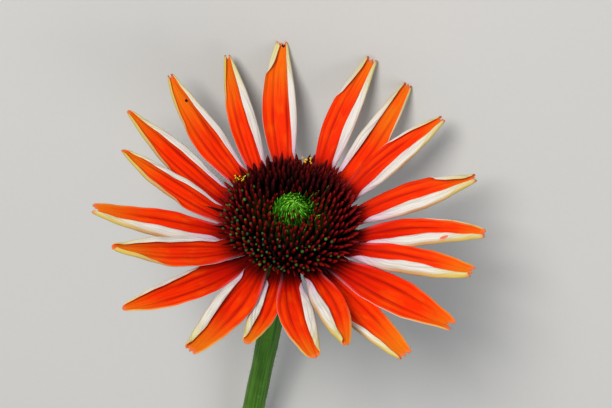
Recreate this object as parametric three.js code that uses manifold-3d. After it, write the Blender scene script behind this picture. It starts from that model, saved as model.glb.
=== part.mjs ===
// A coneflower, cut and laid down: twenty ray petals round a spiny cone, on a stem with green bracts.
// Millimetres, +Z up. The origin is on the surface that the flower lies on, under the middle of its box.
// The head has a frame of its own: u to the right of the face, v up the face, w out of the face.
// A clock angle runs clockwise from v, in degrees, as the face is looked at.
import * as THREE from 'three';
import { mergeVertices } from 'three/addons/utils/BufferGeometryUtils.js';
import Module from 'manifold-3d';

// How the head lies
const HEAD_PLACE = [-0.1, -47.4, 31.5];
const HEAD_RISE = 26;
const HEAD_ROLL = 9.5;

// Petals
const ROOT_RADIUS = 11.3;
const PETAL_THICKNESS = 0.7;
const CLAW_SHARE = 0.36;
const BELLY_AT = 0.5;
const DISH = 12;
const EDGE = 0.35;
const FOLD_REACH = 0.75;
const TEETH_FROM = 0.84;
const NOTCH_PLACES = { 1: [0], 2: [-0.4, 0.4] };
const NOTCH_WIDTHS = { 1: 0.5, 2: 0.22 };
const FLAP_RECESS = 0.5;
const UPPER = 0.5;
const MIDDLE = -0.1;
const LOWER = -0.9;
const LOWEST = -1.4;

// Margins: how wide one is, how far it turns over the face, and where on the petal it grows and fades
const plain = { width: 0, turn: 18, start: 0, full: 1, fade: 0.5, steps: [0.4, 0.8, 2] };
const rolled = (width, fade = 0.6) => ({
  width, turn: 158, start: 0.05, full: 0.55, fade, steps: [0.4, 0.8, 1.05, 1.35, 2],
});
const crimped = (width, start = 0.42, turn = 105) => ({
  width, turn, start, full: start + 0.3, fade: start + 0.38, steps: [0.4, 0.8, 1.05, 1.35, 2],
});

// clock and layer place the root, lean, sweep, lift and curl steer the midrib, half is half the face and
// tip the share of it left at the end. The end has one or two notches of a depth, and a rounding in mm.
const PETALS = [
  { clock: -3, lean: -10.5, sweep: 17, lift: 25.5, curl: 0, length: 37.2, half: 4.1, layer: UPPER,
    tip: 0.3, notches: 2, depth: 0.9, round: 0, left: crimped(1.5, 0.62), right: rolled(1.5) },
  { clock: 32, lean: -18, sweep: 17, lift: 27.5, curl: -4, length: 37.3, half: 3.7, layer: UPPER,
    tip: 0.34, notches: 2, depth: 1.3, round: 0, left: crimped(1.1, 0.64), right: rolled(2.2, 0.45) },
  { clock: 44, lean: -4, sweep: -10, lift: 20, curl: 0, length: 37.5, half: 3.2, layer: LOWER,
    tip: 0.22, notches: 2, depth: 0.8, round: 0.3, left: rolled(2), right: crimped(0.6) },
  { clock: 60, lean: -10.5, sweep: 8, lift: 22, curl: 0, length: 35.3, half: 3.7, layer: UPPER,
    tip: 0.22, notches: 2, depth: 1.2, round: 0, left: crimped(0.8, 0.5), right: rolled(2) },
  { clock: 80, lean: -1.5, sweep: 4, lift: 22, curl: 0, length: 35.3, half: 4.2, layer: UPPER,
    tip: 0.2, notches: 1, depth: 1.6, round: 0, left: crimped(1.1, 0.6), right: rolled(2.5) },
  { clock: 103, lean: -15, sweep: 17, lift: 19, curl: -2, length: 36.5, half: 4, layer: LOWER,
    tip: 0.22, notches: 2, depth: 0.9, round: 0, left: crimped(0.45, 0.48), right: rolled(2.4) },
  { clock: 115, lean: 2.5, sweep: -4, lift: 20.5, curl: 0, length: 37, half: 4.1, layer: UPPER,
    tip: 0.4, notches: 2, depth: 1.1, round: 0, left: plain, right: rolled(2.6) },
  { clock: 138, lean: -12, sweep: 0, lift: 9, curl: 0, length: 37.3, half: 4.8, layer: UPPER,
    tip: 0.24, notches: 1, depth: 2, round: 0, left: plain, right: plain },
  { clock: 144, lean: 8, sweep: -12, lift: 11, curl: 0, length: 35.8, half: 4.3, layer: LOWEST,
    tip: 0.38, notches: 2, depth: 1.2, round: 0, left: plain, right: crimped(1.1, 0.4, 140) },
  { clock: 160, lean: 1.5, sweep: 8, lift: 22, curl: 0, length: 33.8, half: 3.8, layer: UPPER,
    tip: 0.16, notches: 1, depth: 0.5, round: 0.5, left: plain, right: rolled(2.4) },
  { clock: 181, lean: 0, sweep: -20, lift: 20, curl: 0, length: 35.2, half: 4, layer: MIDDLE,
    tip: 0.3, notches: 2, depth: 0.5, round: 0.9, left: rolled(2.2), right: plain },
  { clock: 195, lean: -4.5, sweep: 13, lift: 13.2, curl: 2, length: 27.5, half: 3, layer: LOWEST,
    tip: 0.28, notches: 1, depth: 0.2, round: 1, left: plain, right: rolled(1.8) },
  { clock: 214, lean: -12.5, sweep: 14, lift: 13, curl: 0, length: 37.4, half: 4.3, layer: UPPER,
    tip: 0.3, notches: 2, depth: 1, round: 0.2, left: plain, right: rolled(2, 0.75) },
  { clock: 226, lean: 4, sweep: 12, lift: 11, curl: 0, length: 38.5, half: 3.8, layer: LOWER,
    tip: 0.12, notches: 1, depth: 0.4, round: 0.5, left: plain, right: crimped(1.2, 0.38, 150) },
  { clock: 238, lean: 5, sweep: 16, lift: 20, curl: 4, length: 37.7, half: 4.2, layer: UPPER,
    tip: 0.12, notches: 1, depth: 0.4, round: 0.5, left: crimped(0.8, 0.5), right: rolled(1.6) },
  { clock: 262, lean: -3.5, sweep: 12, lift: 18, curl: 4, length: 38.9, half: 4, layer: LOWER,
    tip: 0.27, notches: 1, depth: 2.3, round: 0, left: rolled(2.4), right: plain },
  { clock: 268, lean: 15, sweep: 13, lift: 25.2, curl: 0, length: 35.3, half: 3.4, layer: UPPER,
    tip: 0.1, notches: 1, depth: 0.2, round: 0.7, left: crimped(0.55, 0.4), right: rolled(1.2) },
  { clock: 291, lean: 5, sweep: 12, lift: 24, curl: 0, length: 38.6, half: 3.8, layer: LOWER,
    tip: 0.08, notches: 1, depth: 0.2, round: 0.4, left: crimped(0.5, 0.45), right: rolled(1.7) },
  { clock: 317, lean: -10, sweep: 21, lift: 24, curl: 0, length: 37.4, half: 3.9, layer: UPPER,
    tip: 0.12, notches: 1, depth: 1, round: 0, left: crimped(0.4, 0.55), right: rolled(1.5) },
  { clock: 330, lean: 6, sweep: 9, lift: 25, curl: 0, length: 36.8, half: 3.3, layer: LOWER,
    tip: 0.18, notches: 1, depth: 1.2, round: 0, left: crimped(0.45, 0.6), right: rolled(2) },
];

// Cone: its dark body, as radius and height, and the spines that stand on it
const CONE_PROFILE = [
  [0, 1.4], [10.6, 1.4], [13.1, 3], [13, 3.8], [11.4, 5.4], [9, 6.7], [6.6, 6.9], [5, 6], [0, 6],
];
const CONE_SIDES = 24;
const SPINE_COUNT = 430;
const SPINE_TIPS = [[6.2, 11.2], [9.3, 12.6], [12.2, 12], [15, 10.3], [17.3, 8], [18.6, 5.8]];
const SPINE_TILTS = [4, 8, 14, 24, 42, 68];
const SHORT_SIDE = 40;
const SHORT_BY = 0.1;
const SPINE_RADIUS = 0.7;
const SPINE_SUNK = 0.8;

// Heart: the green middle of the cone, where the florets are still closed
const HEART_PROFILE = [[0, 6.3], [4.1, 6.3], [4.3, 7], [3.9, 8.3], [3, 9.4], [1.6, 10.1], [0, 10.3]];
const HEART_BRACTS = 48;
const HEART_REACH = 4.1;
const HEART_BRACT_LENGTH = 1.8;
const HEART_BRACT_RADIUS = 0.6;
const HEART_BRACT_SUNK = 0.6;

// Receptacle and bracts under the petals, then the stem
const CUP_PROFILE = [
  [0, -8], [2.8, -8], [3.2, -6], [5.2, -4.8], [8.6, -3.8], [10.4, -3], [10.4, 1.1], [0, 1.1],
];
const BRACT_ROWS = [
  { count: 14, radius: 9.6, height: -3.4, dip: 4, curl: 18, length: 10.5, width: 2.6 },
  { count: 13, radius: 8, height: -4, dip: 26, curl: 26, length: 9.5, width: 2.4 },
  { count: 11, radius: 6, height: -4.7, dip: 50, curl: 24, length: 8, width: 2.1 },
];
const BRACT_THICKNESS = 0.8;
const STEM_START = 5;
const STEM_LENGTH = 128;
const STEM_RADIUS = 2.7;
const STEM_END_RADIUS = 2.95;
const STEM_END_FALL = 5;
const STEM_BEND_LENGTH = 43;
const STEM_HEADING = 4;
const STEM_SWAY = -7;
const STEM_RINGS = 18;
const STEM_SIDES = 12;

const wasm = await Module();
wasm.setup();
const up = new THREE.Vector3(0, 0, 1);
const rad = THREE.MathUtils.degToRad;
const mix = THREE.MathUtils.lerp;
const ease = (x) => THREE.MathUtils.smoothstep(x, 0, 1);

// The same draw of random numbers each time
function seededRandom(seed) {
  let state = seed;
  return () => {
    state = (Math.imul(state, 1664525) + 1013904223) >>> 0;
    return state / 4294967296;
  };
}

// The way out from the flower's axis, and the way clockwise round it
function compass(clock) {
  const angle = rad(clock);
  return {
    out: new THREE.Vector3(Math.sin(angle), Math.cos(angle), 0),
    round: new THREE.Vector3(Math.cos(angle), -Math.sin(angle), 0),
  };
}

function headFrame() {
  const rise = rad(HEAD_RISE);
  const roll = rad(HEAD_ROLL);
  const w = new THREE.Vector3(0, -Math.cos(rise), Math.sin(rise));
  const uphill = new THREE.Vector3(0, Math.sin(rise), Math.cos(rise));
  const u = new THREE.Vector3(-Math.cos(roll), 0, 0).addScaledVector(uphill, -Math.sin(roll));
  const v = new THREE.Vector3(Math.sin(roll), 0, 0).addScaledVector(uphill, -Math.cos(roll));
  return new THREE.Matrix4().makeBasis(u, v, w).setPosition(...HEAD_PLACE);
}

function geometryOf(points, faces) {
  const geometry = new THREE.BufferGeometry();
  const numbers = points.flatMap((p) => [p.x, p.y, p.z]);
  geometry.setAttribute('position', new THREE.Float32BufferAttribute(numbers, 3));
  geometry.setIndex(faces.flat());
  return geometry;
}

// A solid skinned over rings of points, which closes on a last single point where one is given
function loft(rings) {
  const sides = rings[0].length;
  const points = rings.flat();
  const faces = [];
  const last = rings.length - 1;
  for (let i = 0; i < last; i += 1) {
    for (let j = 0; j < sides; j += 1) {
      const a = i * sides + j;
      const b = i * sides + ((j + 1) % sides);
      if (rings[i + 1].length === 1) {
        faces.push([a, b, (i + 1) * sides]);
      } else {
        faces.push([a, b, b + sides], [a, b + sides, a + sides]);
      }
    }
  }
  for (let j = 1; j < sides - 1; j += 1) {
    faces.push([0, j + 1, j]);
    if (rings[last].length > 1) {
      faces.push([last * sides, last * sides + j, last * sides + j + 1]);
    }
  }
  return geometryOf(points, faces);
}

// A ring of points round a centre, in the plane across a direction
function ring(centre, direction, radius, sides, turn = 0) {
  const guide = Math.abs(direction.z) > 0.9 ? new THREE.Vector3(1, 0, 0) : up;
  const side = new THREE.Vector3().crossVectors(guide, direction).normalize();
  const rise = new THREE.Vector3().crossVectors(direction, side);
  return Array.from({ length: sides }, (_, k) => {
    const angle = (2 * Math.PI * k) / sides + turn;
    return centre.clone()
      .addScaledVector(side, Math.cos(angle) * radius)
      .addScaledVector(rise, Math.sin(angle) * radius);
  });
}

function solidOf(geometry) {
  const bare = new THREE.BufferGeometry();
  bare.setAttribute('position', geometry.getAttribute('position').clone());
  if (geometry.index) {
    bare.setIndex(geometry.index.clone());
  }
  const merged = mergeVertices(bare, 1e-4);
  const corners = [];
  for (let k = 0; k < merged.index.count; k += 3) {
    const [a, b, c] = merged.index.array.slice(k, k + 3);
    if (a !== b && b !== c && c !== a) {
      corners.push(a, b, c);
    }
  }
  return new wasm.Manifold(new wasm.Mesh({
    numProp: 3,
    vertProperties: new Float32Array(merged.getAttribute('position').array),
    triVerts: new Uint32Array(corners),
  }));
}

function geometryFrom(solid) {
  const mesh = solid.getMesh();
  const geometry = new THREE.BufferGeometry();
  geometry.setAttribute('position', new THREE.BufferAttribute(mesh.vertProperties, 3));
  geometry.setIndex(new THREE.BufferAttribute(mesh.triVerts, 1));
  return geometry;
}

function join(geometries) {
  return geometryFrom(geometries.map(solidOf).reduce((whole, piece) => whole.add(piece)));
}

// A turned body about w, from a profile of radius and height
function turned(profile, sides) {
  const geometry = new THREE.LatheGeometry(profile.map(([r, h]) => new THREE.Vector2(r, h)), sides);
  return geometry.rotateX(Math.PI / 2);
}

// How far a margin has grown at a place along the petal
function growth(margin, s) {
  const grown = ease((s - margin.start) / (margin.full - margin.start));
  return margin.width === 0 ? 0 : grown * (1 - 0.75 * ease((s - margin.fade) / (1 - margin.fade)));
}

// Half the face's width at a place along the petal: a narrow claw, a belly and a small tip
function halfFace(petal, s) {
  const share = s < BELLY_AT
    ? mix(CLAW_SHARE, 1, ease(s / BELLY_AT) ** 0.85)
    : mix(1, petal.tip, ((s - BELLY_AT) / (1 - BELLY_AT)) ** 1.9);
  return petal.half * share;
}

// A point of the cross-section: reach is 0 at the midrib, 1 at the fold and 2 at the margin's free edge
function sectionPoint(petal, margin, s, reach) {
  const face = halfFace(petal, s);
  const grown = growth(margin, s);
  const turn = rad(mix(plain.turn, margin.turn, ease(2.5 * grown)));
  const free = EDGE + margin.width * grown;
  const arc = face * Math.min(reach, 1) + free * Math.max(reach - 1, 0);
  const slope = (x) => rad(DISH) * Math.min(1, x / face) ** 2
    + turn * ease((x - face + FOLD_REACH) / (2 * FOLD_REACH));
  const steps = 40;
  const point = { across: 0, above: 0, slope: slope(arc) };
  for (let k = 0; k < steps; k += 1) {
    const angle = slope(((k + 0.5) * arc) / steps);
    point.across += (Math.cos(angle) * arc) / steps;
    point.above += (Math.sin(angle) * arc) / steps;
  }
  return point;
}

// How far the petal's end falls short, for its notches and its rounding. A turned margin ends shorter.
function recess(petal, reach) {
  const cuts = NOTCH_PLACES[petal.notches].map(
    (place) => Math.exp(-(Math.abs((reach - place) / NOTCH_WIDTHS[petal.notches]) ** 1.5)),
  );
  return petal.round * Math.min(1, reach ** 2) + FLAP_RECESS * Math.max(0, Math.abs(reach) - 1)
    + petal.depth * cuts.reduce((sum, cut) => sum + cut);
}

// The midrib, as a function of s from 0 at the root to 1 at the tip
function midrib(petal) {
  const heading = (s) => {
    const lift = rad(petal.lift + petal.curl * s);
    const bearing = rad(petal.lean + petal.sweep * s);
    const level = new THREE.Vector3(Math.cos(bearing), Math.sin(bearing), 0);
    return {
      along: level.multiplyScalar(Math.cos(lift)).addScaledVector(up, Math.sin(lift)),
      across: new THREE.Vector3(-Math.sin(bearing), Math.cos(bearing), 0),
    };
  };
  const steps = 60;
  const places = [new THREE.Vector3(ROOT_RADIUS, 0, petal.layer)];
  for (let k = 0; k < steps; k += 1) {
    places.push(places[k].clone().addScaledVector(heading((k + 0.5) / steps).along, petal.length / steps));
  }
  return (s) => {
    const k = Math.min(steps - 1, Math.floor(s * steps));
    return { place: places[k].clone().lerp(places[k + 1], s * steps - k), ...heading(s) };
  };
}

// One petal: a thin sheet, its two faces half a thickness either side of a grid of points
function petalGeometry(petal) {
  const rib = midrib(petal);
  const { out, round } = compass(petal.clock);
  const toHead = new THREE.Matrix4().makeBasis(out, round, up);
  const reaches = [...petal.left.steps.map((t) => -t).reverse(), 0, ...petal.right.steps];
  const rows = [0, 0.1, 0.24, 0.4, 0.56, 0.72, 0.86, 1];
  const tops = [];
  const bottoms = [];
  for (const row of rows) {
    for (const reach of reaches) {
      const s = row - (recess(petal, reach) / petal.length) * ease((row - TEETH_FROM) / (1 - TEETH_FROM));
      const { place, along, across } = rib(s);
      const above = new THREE.Vector3().crossVectors(along, across);
      const hand = Math.sign(reach);
      const section = sectionPoint(petal, hand < 0 ? petal.left : petal.right, s, Math.abs(reach));
      const middle = place.clone()
        .addScaledVector(across, hand * section.across)
        .addScaledVector(above, section.above);
      const normal = above.clone().multiplyScalar(Math.cos(section.slope))
        .addScaledVector(across, -hand * Math.sin(section.slope));
      tops.push(middle.clone().addScaledVector(normal, PETAL_THICKNESS / 2).applyMatrix4(toHead));
      bottoms.push(middle.clone().addScaledVector(normal, -PETAL_THICKNESS / 2).applyMatrix4(toHead));
    }
  }
  return geometryOf([...tops, ...bottoms], sheetFaces(rows.length, reaches.length));
}

// Faces of a sheet: its top, its bottom split alike, and the wall round its rim
function sheetFaces(rowCount, columnCount) {
  const faces = [];
  const under = rowCount * columnCount;
  const at = (i, j) => i * columnCount + j;
  for (let i = 0; i < rowCount - 1; i += 1) {
    for (let j = 0; j < columnCount - 1; j += 1) {
      const [a, b, c, d] = [at(i, j), at(i, j + 1), at(i + 1, j + 1), at(i + 1, j)];
      faces.push([a, b, c], [a, c, d], [a + under, c + under, b + under], [a + under, d + under, c + under]);
    }
  }
  const rim = [];
  for (let j = 0; j < columnCount - 1; j += 1) rim.push(at(0, j));
  for (let i = 0; i < rowCount - 1; i += 1) rim.push(at(i, columnCount - 1));
  for (let j = columnCount - 1; j > 0; j -= 1) rim.push(at(rowCount - 1, j));
  for (let i = rowCount - 1; i > 0; i -= 1) rim.push(at(i, 0));
  rim.forEach((a, k) => {
    const b = rim[(k + 1) % rim.length];
    faces.push([a, a + under, b + under], [a, b + under, b]);
  });
  return faces;
}

// What would reach below the surface is cut flat there
function restOnSurface(geometry, frame) {
  const local = frame.clone().invert();
  const normal = up.clone().transformDirection(local);
  const offset = new THREE.Vector3().applyMatrix4(local).dot(normal);
  return geometryFrom(solidOf(geometry).trimByPlane(normal.toArray(), offset));
}

// A three-sided spine from its root to its sharp tip
function spine(root, tip, radius, turn) {
  const direction = tip.clone().sub(root).normalize();
  return loft([ring(root, direction, radius, 3, turn), [tip]]);
}

// Height of a turned profile's upper side over a radius
function heightOver(profile, radius) {
  const rim = profile.reduce((best, point, k) => (point[0] > profile[best][0] ? k : best), 0);
  for (let k = rim; k < profile.length - 1; k += 1) {
    const [[r0, h0], [r1, h1]] = [profile[k], profile[k + 1]];
    if (radius <= r0 && radius >= r1) {
      return mix(h0, h1, (r0 - radius) / (r0 - r1));
    }
  }
  return profile[rim][1];
}

// Spines follow one another round the cone at the golden angle, as the florets grow
const GOLDEN_ANGLE = 137.508;

// The tips of the spines lie evenly over a dome, a little narrower on its short side, and each spine
// leans out more the lower it stands
function coneGeometry() {
  const random = seededRandom(7);
  const pieces = [turned(CONE_PROFILE, CONE_SIDES)];
  const spans = SPINE_TIPS.slice(1).map(([r, h], k) => {
    const [r0, h0] = SPINE_TIPS[k];
    return Math.hypot(r - r0, h - h0) * (r + r0);
  });
  const area = spans.reduce((sum, span) => sum + span);
  for (let k = 0; k < SPINE_COUNT; k += 1) {
    let rest = (area * (k + 0.5)) / SPINE_COUNT;
    let band = 0;
    while (rest > spans[band]) {
      rest -= spans[band];
      band += 1;
    }
    const share = rest / spans[band];
    const { out, round } = compass(k * GOLDEN_ANGLE);
    const tilt = rad(mix(SPINE_TILTS[band], SPINE_TILTS[band + 1], share) + 5 * (random() - 0.5));
    const shorter = SHORT_BY * Math.sqrt(Math.max(0, Math.cos(rad(k * GOLDEN_ANGLE - SHORT_SIDE))));
    const radius = mix(SPINE_TIPS[band][0], SPINE_TIPS[band + 1][0], share) * (1 - shorter);
    const height = mix(SPINE_TIPS[band][1], SPINE_TIPS[band + 1][1], share) + 0.5 * (random() - 0.5);
    const tip = out.clone().multiplyScalar(radius).addScaledVector(up, height);
    const direction = out.clone().multiplyScalar(Math.sin(tilt)).addScaledVector(up, Math.cos(tilt))
      .addScaledVector(round, 0.1 * (random() - 0.5)).normalize();
    const root = tip.clone();
    while (root.z > heightOver(CONE_PROFILE, Math.hypot(root.x, root.y)) - SPINE_SUNK) {
      root.addScaledVector(direction, -0.1);
    }
    pieces.push(spine(root, tip, SPINE_RADIUS, random() * 2));
  }
  return join(pieces);
}

// Short bracts curve in over the heart's dome, steeper the nearer they stand to its middle
function heartGeometry() {
  const random = seededRandom(11);
  const pieces = [turned(HEART_PROFILE, 18)];
  for (let k = 0; k < HEART_BRACTS; k += 1) {
    const radius = HEART_REACH * Math.sqrt((k + 0.5) / HEART_BRACTS);
    const { out } = compass(k * GOLDEN_ANGLE);
    const tilt = rad(mix(0, -22, radius / HEART_REACH) + 6 * (random() - 0.5));
    const direction = out.clone().multiplyScalar(Math.sin(tilt)).addScaledVector(up, Math.cos(tilt));
    const height = heightOver(HEART_PROFILE, radius) - HEART_BRACT_SUNK;
    const foot = out.clone().multiplyScalar(radius).addScaledVector(up, height);
    const tip = foot.clone().addScaledVector(direction, HEART_BRACT_LENGTH);
    pieces.push(spine(foot, tip, HEART_BRACT_RADIUS, random() * 2));
  }
  return join(pieces);
}

// A lance-shaped bract with a keel, bending down and back as it goes out
function bract(clock, row) {
  const { out, round } = compass(clock);
  const shares = [0.9, 1, 0.6];
  const step = row.length / shares.length;
  const place = out.clone().multiplyScalar(row.radius - 1.2).addScaledVector(up, row.height);
  const rings = shares.map((share, k) => {
    const dip = rad(row.dip + (row.curl * k) / shares.length);
    const along = out.clone().multiplyScalar(Math.cos(dip)).addScaledVector(up, -Math.sin(dip));
    const above = new THREE.Vector3().crossVectors(round, along);
    const half = (row.width / 2) * share;
    const corners = [[half, 0.15], [0, BRACT_THICKNESS / 2], [-half, 0.15], [0, -BRACT_THICKNESS / 2]];
    const points = corners.map(([across, over]) => place.clone()
      .addScaledVector(round, across)
      .addScaledVector(above, -over));
    place.addScaledVector(along, step);
    return points;
  });
  return loft([...rings, [place]]);
}

function stemCentreline() {
  const frame = headFrame();
  const place = new THREE.Vector3(0, 0, -STEM_START).applyMatrix4(frame);
  const step = STEM_LENGTH / STEM_RINGS;
  const line = [];
  for (let k = 0; k <= STEM_RINGS; k += 1) {
    const along = k * step;
    const fall = rad(STEM_END_FALL + (HEAD_RISE - STEM_END_FALL) * Math.exp(-along / STEM_BEND_LENGTH));
    const heading = rad(STEM_HEADING + STEM_SWAY * (along / STEM_LENGTH) ** 2);
    const direction = new THREE.Vector3(
      Math.sin(heading) * Math.cos(fall), Math.cos(heading) * Math.cos(fall), -Math.sin(fall),
    );
    line.push({ place: place.clone(), direction, along });
    place.addScaledVector(direction, step);
  }
  return line;
}

// Stem, cup and bracts grow as one green piece
function stemGeometry() {
  const frame = headFrame();
  const rings = stemCentreline().map(({ place, direction, along }) => {
    const radius = mix(STEM_RADIUS, STEM_END_RADIUS, along / STEM_LENGTH);
    return ring(place, direction, radius, STEM_SIDES);
  });
  const pieces = [turned(CUP_PROFILE, CONE_SIDES).applyMatrix4(frame)];
  for (const [k, row] of BRACT_ROWS.entries()) {
    for (let j = 0; j < row.count; j += 1) {
      pieces.push(bract(((j + 0.5 * (k % 2)) * 360) / row.count, row).applyMatrix4(frame));
    }
  }
  pieces.push(loft(rings));
  return restOnSurface(join(pieces), new THREE.Matrix4());
}

function named(name, geometry, color, roughness) {
  const mesh = new THREE.Mesh(geometry, new THREE.MeshStandardMaterial({ color, roughness, metalness: 0 }));
  mesh.name = name;
  return mesh;
}

const part = new THREE.Group();
const head = new THREE.Group();
head.applyMatrix4(headFrame());
part.add(head, named('stem', stemGeometry(), 0x5d7f2e, 0.7));
head.add(named('cone', coneGeometry(), 0x3a0d0d, 0.5), named('cone_heart', heartGeometry(), 0x6fae1f, 0.6));
PETALS.forEach((petal, k) => {
  const frame = headFrame();
  const geometry = restOnSurface(petalGeometry(petal), frame);
  head.add(named(`petal_${String(k + 1).padStart(2, '0')}`, geometry, 0xe8380f, 0.55));
});

export default part;
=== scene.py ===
"""A cut coneflower on a pale table: rolled ray petals, a domed spiny cone and a hairy green stem.

Lengths in the flower's own constants are in millimetres. The head has a frame of its own: u to the
right of the face, v up the face, w out of the face. A clock angle runs clockwise from v as the face
is looked at.
"""

import math

import bpy
import numpy as np
from mathutils import Matrix, Vector


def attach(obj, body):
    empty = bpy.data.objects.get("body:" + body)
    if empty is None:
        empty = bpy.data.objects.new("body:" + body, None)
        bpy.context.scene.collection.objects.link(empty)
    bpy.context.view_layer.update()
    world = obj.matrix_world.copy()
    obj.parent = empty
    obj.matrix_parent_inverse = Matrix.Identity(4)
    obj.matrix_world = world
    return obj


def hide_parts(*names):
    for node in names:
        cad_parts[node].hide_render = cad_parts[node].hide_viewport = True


bl_info = {
    "name": "Cut coneflower",
    "version": (1, 0, 0),
    "blender": (4, 5, 0),
    "location": "3D View > Sidebar > Coneflower",
    "description": "Builds a cut coneflower, petal by petal and spine by spine, on a pale table",
    "category": "Add Mesh",
}

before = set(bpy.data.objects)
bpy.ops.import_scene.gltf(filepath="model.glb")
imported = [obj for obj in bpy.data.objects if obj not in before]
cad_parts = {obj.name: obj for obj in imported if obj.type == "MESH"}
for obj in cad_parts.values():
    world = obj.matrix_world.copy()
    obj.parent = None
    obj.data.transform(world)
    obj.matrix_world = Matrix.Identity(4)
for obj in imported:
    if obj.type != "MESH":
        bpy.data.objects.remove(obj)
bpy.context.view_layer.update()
MM = 0.001
UP = np.array([0.0, 0.0, 1.0])

# How the head lies, as in the solids
HEAD_PLACE = (-0.1, -47.4, 31.5)
HEAD_RISE = math.radians(26)
HEAD_ROLL = math.radians(9.5)

# The picture: where the head's own origin falls, how far off the camera is, how it leans to the face
PICTURE = (612, 408)
HEAD_PIXEL = (291.0, 230.0)
MM_PER_PIXEL = 0.24
CAMERA_DISTANCE = 612.0
VIEW_TILT = math.radians(36)
VIEW_TURN = math.radians(4)
SENSOR = 36.0

# Petals: the outline of the face, its hollow, the fold of its margins and the layer that it lies in
ROOT_RADIUS = 11.3
CLAW_SHARE = 0.36
CLAW_CURVE = 0.85
BELLY_AT = 0.5
TIP_CURVE = 1.9
DISH = math.radians(12)
EDGE = 0.35
FOLD_REACH = 0.75
FULL_TURN = 158
TURNS_SOON = 2.5
FADES_BY = 0.75
UPPER = 0.5
MIDDLE = -0.1
LOWER = -0.9
LOWEST = -1.4


def make_margin(width, turn, start, full, fade, ochre):
    """A petal's margin: its width and turn, where it starts, is full and fades, its stain's width."""
    return {
        "width": width, "turn": turn, "start": start, "full": full, "fade": fade, "ochre": ochre,
    }


def rolled(width, ochre=0.25, fade=0.6):
    """A margin rolled over the face along most of the petal."""
    return make_margin(width, FULL_TURN, 0.05, 0.55, fade, ochre)


def crimped(width, start=0.42, ochre=0.3, turn=105, over=0.3):
    """A margin that turns up only towards the tip, over that share of the petal."""
    full = start + over
    return make_margin(width, turn, start, full, full + 0.08, ochre)


PLAIN = make_margin(0.0, 18, 0.0, 1.0, 0.5, 0.1)

# clock, lean, sweep, lift, curl, length, half width, layer,
# left margin, right margin,
# share of the width left at the tip, number of notches in the tip, their depth, how round the tip is,
# how deep its red is
PETAL_KEYS = (
    "clock", "lean", "sweep", "lift", "curl", "length", "half", "layer", "left", "right",
    "tip", "notches", "depth", "round", "blush",
)
PETALS = [
    (-3, -10.5, 17, 25.5, 0, 37.2, 4.1, UPPER,
     crimped(1.25, 0.75, 0.0, 132, 0.13), rolled(1.5, 0.2), 0.3, 2, 0.9, 0, 0.35),
    (32, -18, 17, 27.5, -4, 37.3, 3.7, UPPER,
     crimped(1.15, 0.62, 0.0, 130, 0.2), rolled(2.2, 0.2, 0.45), 0.34, 2, 1.3, 0, 0.55),
    (44, -4, -10, 20, 0, 37.5, 3.5, LOWER,
     rolled(2, 0.2, 0.42), crimped(0.5, 0.5, 0.5), 0.24, 2, 0.8, 0.3, 0.15),
    (60, -10.5, 8, 22, 0, 35.3, 3.7, UPPER,
     crimped(1.0, 0.5, 0.1, 126), rolled(2, 0.35), 0.22, 2, 1.2, 0, 0.75),
    (80, -1.5, 4, 22, 0, 35.3, 4.2, UPPER,
     crimped(1.4, 0.66, 0.1, 142, 0.16), rolled(2.5, 0.35), 0.2, 1, 1.6, 0, 0.6),
    (103, -15, 17, 19, -2, 36.5, 4, LOWER,
     crimped(0.45, 0.48), rolled(2.4, 0.45), 0.22, 2, 0.9, 0, 0.85),
    (115, 2.5, -4, 20.5, 0, 37, 4.1, UPPER, PLAIN, rolled(2.6, 0.55), 0.4, 2, 1.1, 0, 0.65),
    (138, -12, 0, 9, 0, 37.3, 4.8, UPPER, PLAIN, PLAIN, 0.24, 1, 2.0, 0, 0.8),
    (144, 8, -12, 11, 0, 35.8, 4.3, LOWEST,
     PLAIN, crimped(1.1, 0.4, 0.4, 140), 0.38, 2, 1.2, 0, 0.4),
    (160, 1.5, 8, 22, 0, 33.8, 3.8, UPPER, PLAIN, rolled(2.4, 0.4), 0.16, 1, 0.5, 0.5, 0.6),
    (181, 0, -20, 20, 0, 35.2, 4, MIDDLE, rolled(2.2, 0.3), PLAIN, 0.3, 2, 0.5, 0.9, 0.7),
    (195, -4.5, 13, 13.2, 2, 27.5, 3, LOWEST, PLAIN, rolled(2.1, 0.4), 0.28, 1, 0.2, 1.0, 0.5),
    (214, -12.5, 14, 13, 0, 37.4, 4.3, UPPER,
     PLAIN, rolled(2, 0.3, 0.75), 0.3, 2, 1.0, 0.2, 0.5),
    (226, 4, 12, 11, 0, 38.5, 3.8, LOWER,
     PLAIN, crimped(1.1, 0.3, 0.1, 138), 0.12, 1, 0.4, 0.5, 0.8),
    (238, 5, 16, 20, 4, 37.7, 4.2, UPPER,
     crimped(0.6, 0.6, 1.2), rolled(1.6, 0.3), 0.12, 1, 0.4, 0.5, 0.45),
    (262, -3.5, 12, 18, 4, 38.9, 4, LOWER, rolled(2.4, 0.5, 0.5), PLAIN, 0.27, 1, 2.3, 0, 0.6),
    (268, 15, 13, 25.2, 0, 35.3, 3.4, UPPER,
     crimped(0.55, 0.4, 1.0), rolled(1.2, 0.2), 0.1, 1, 0.2, 0.7, 0.5),
    (291, 5, 12, 24, 0, 38.6, 3.8, LOWER,
     crimped(0.5, 0.45, 1.0), rolled(1.7, 0.2), 0.08, 1, 0.2, 0.4, 0.6),
    (317, -10, 21, 24, 0, 37.4, 3.9, UPPER,
     crimped(0.4, 0.55, 1.0), rolled(1.5, 0.2), 0.12, 1, 1.0, 0, 0.25),
    (330, 6, 9, 25, 0, 36.8, 3.3, LOWER,
     crimped(0.45, 0.6, 1.0), rolled(2, 0.2), 0.18, 1, 1.2, 0, 0.3),
]

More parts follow.
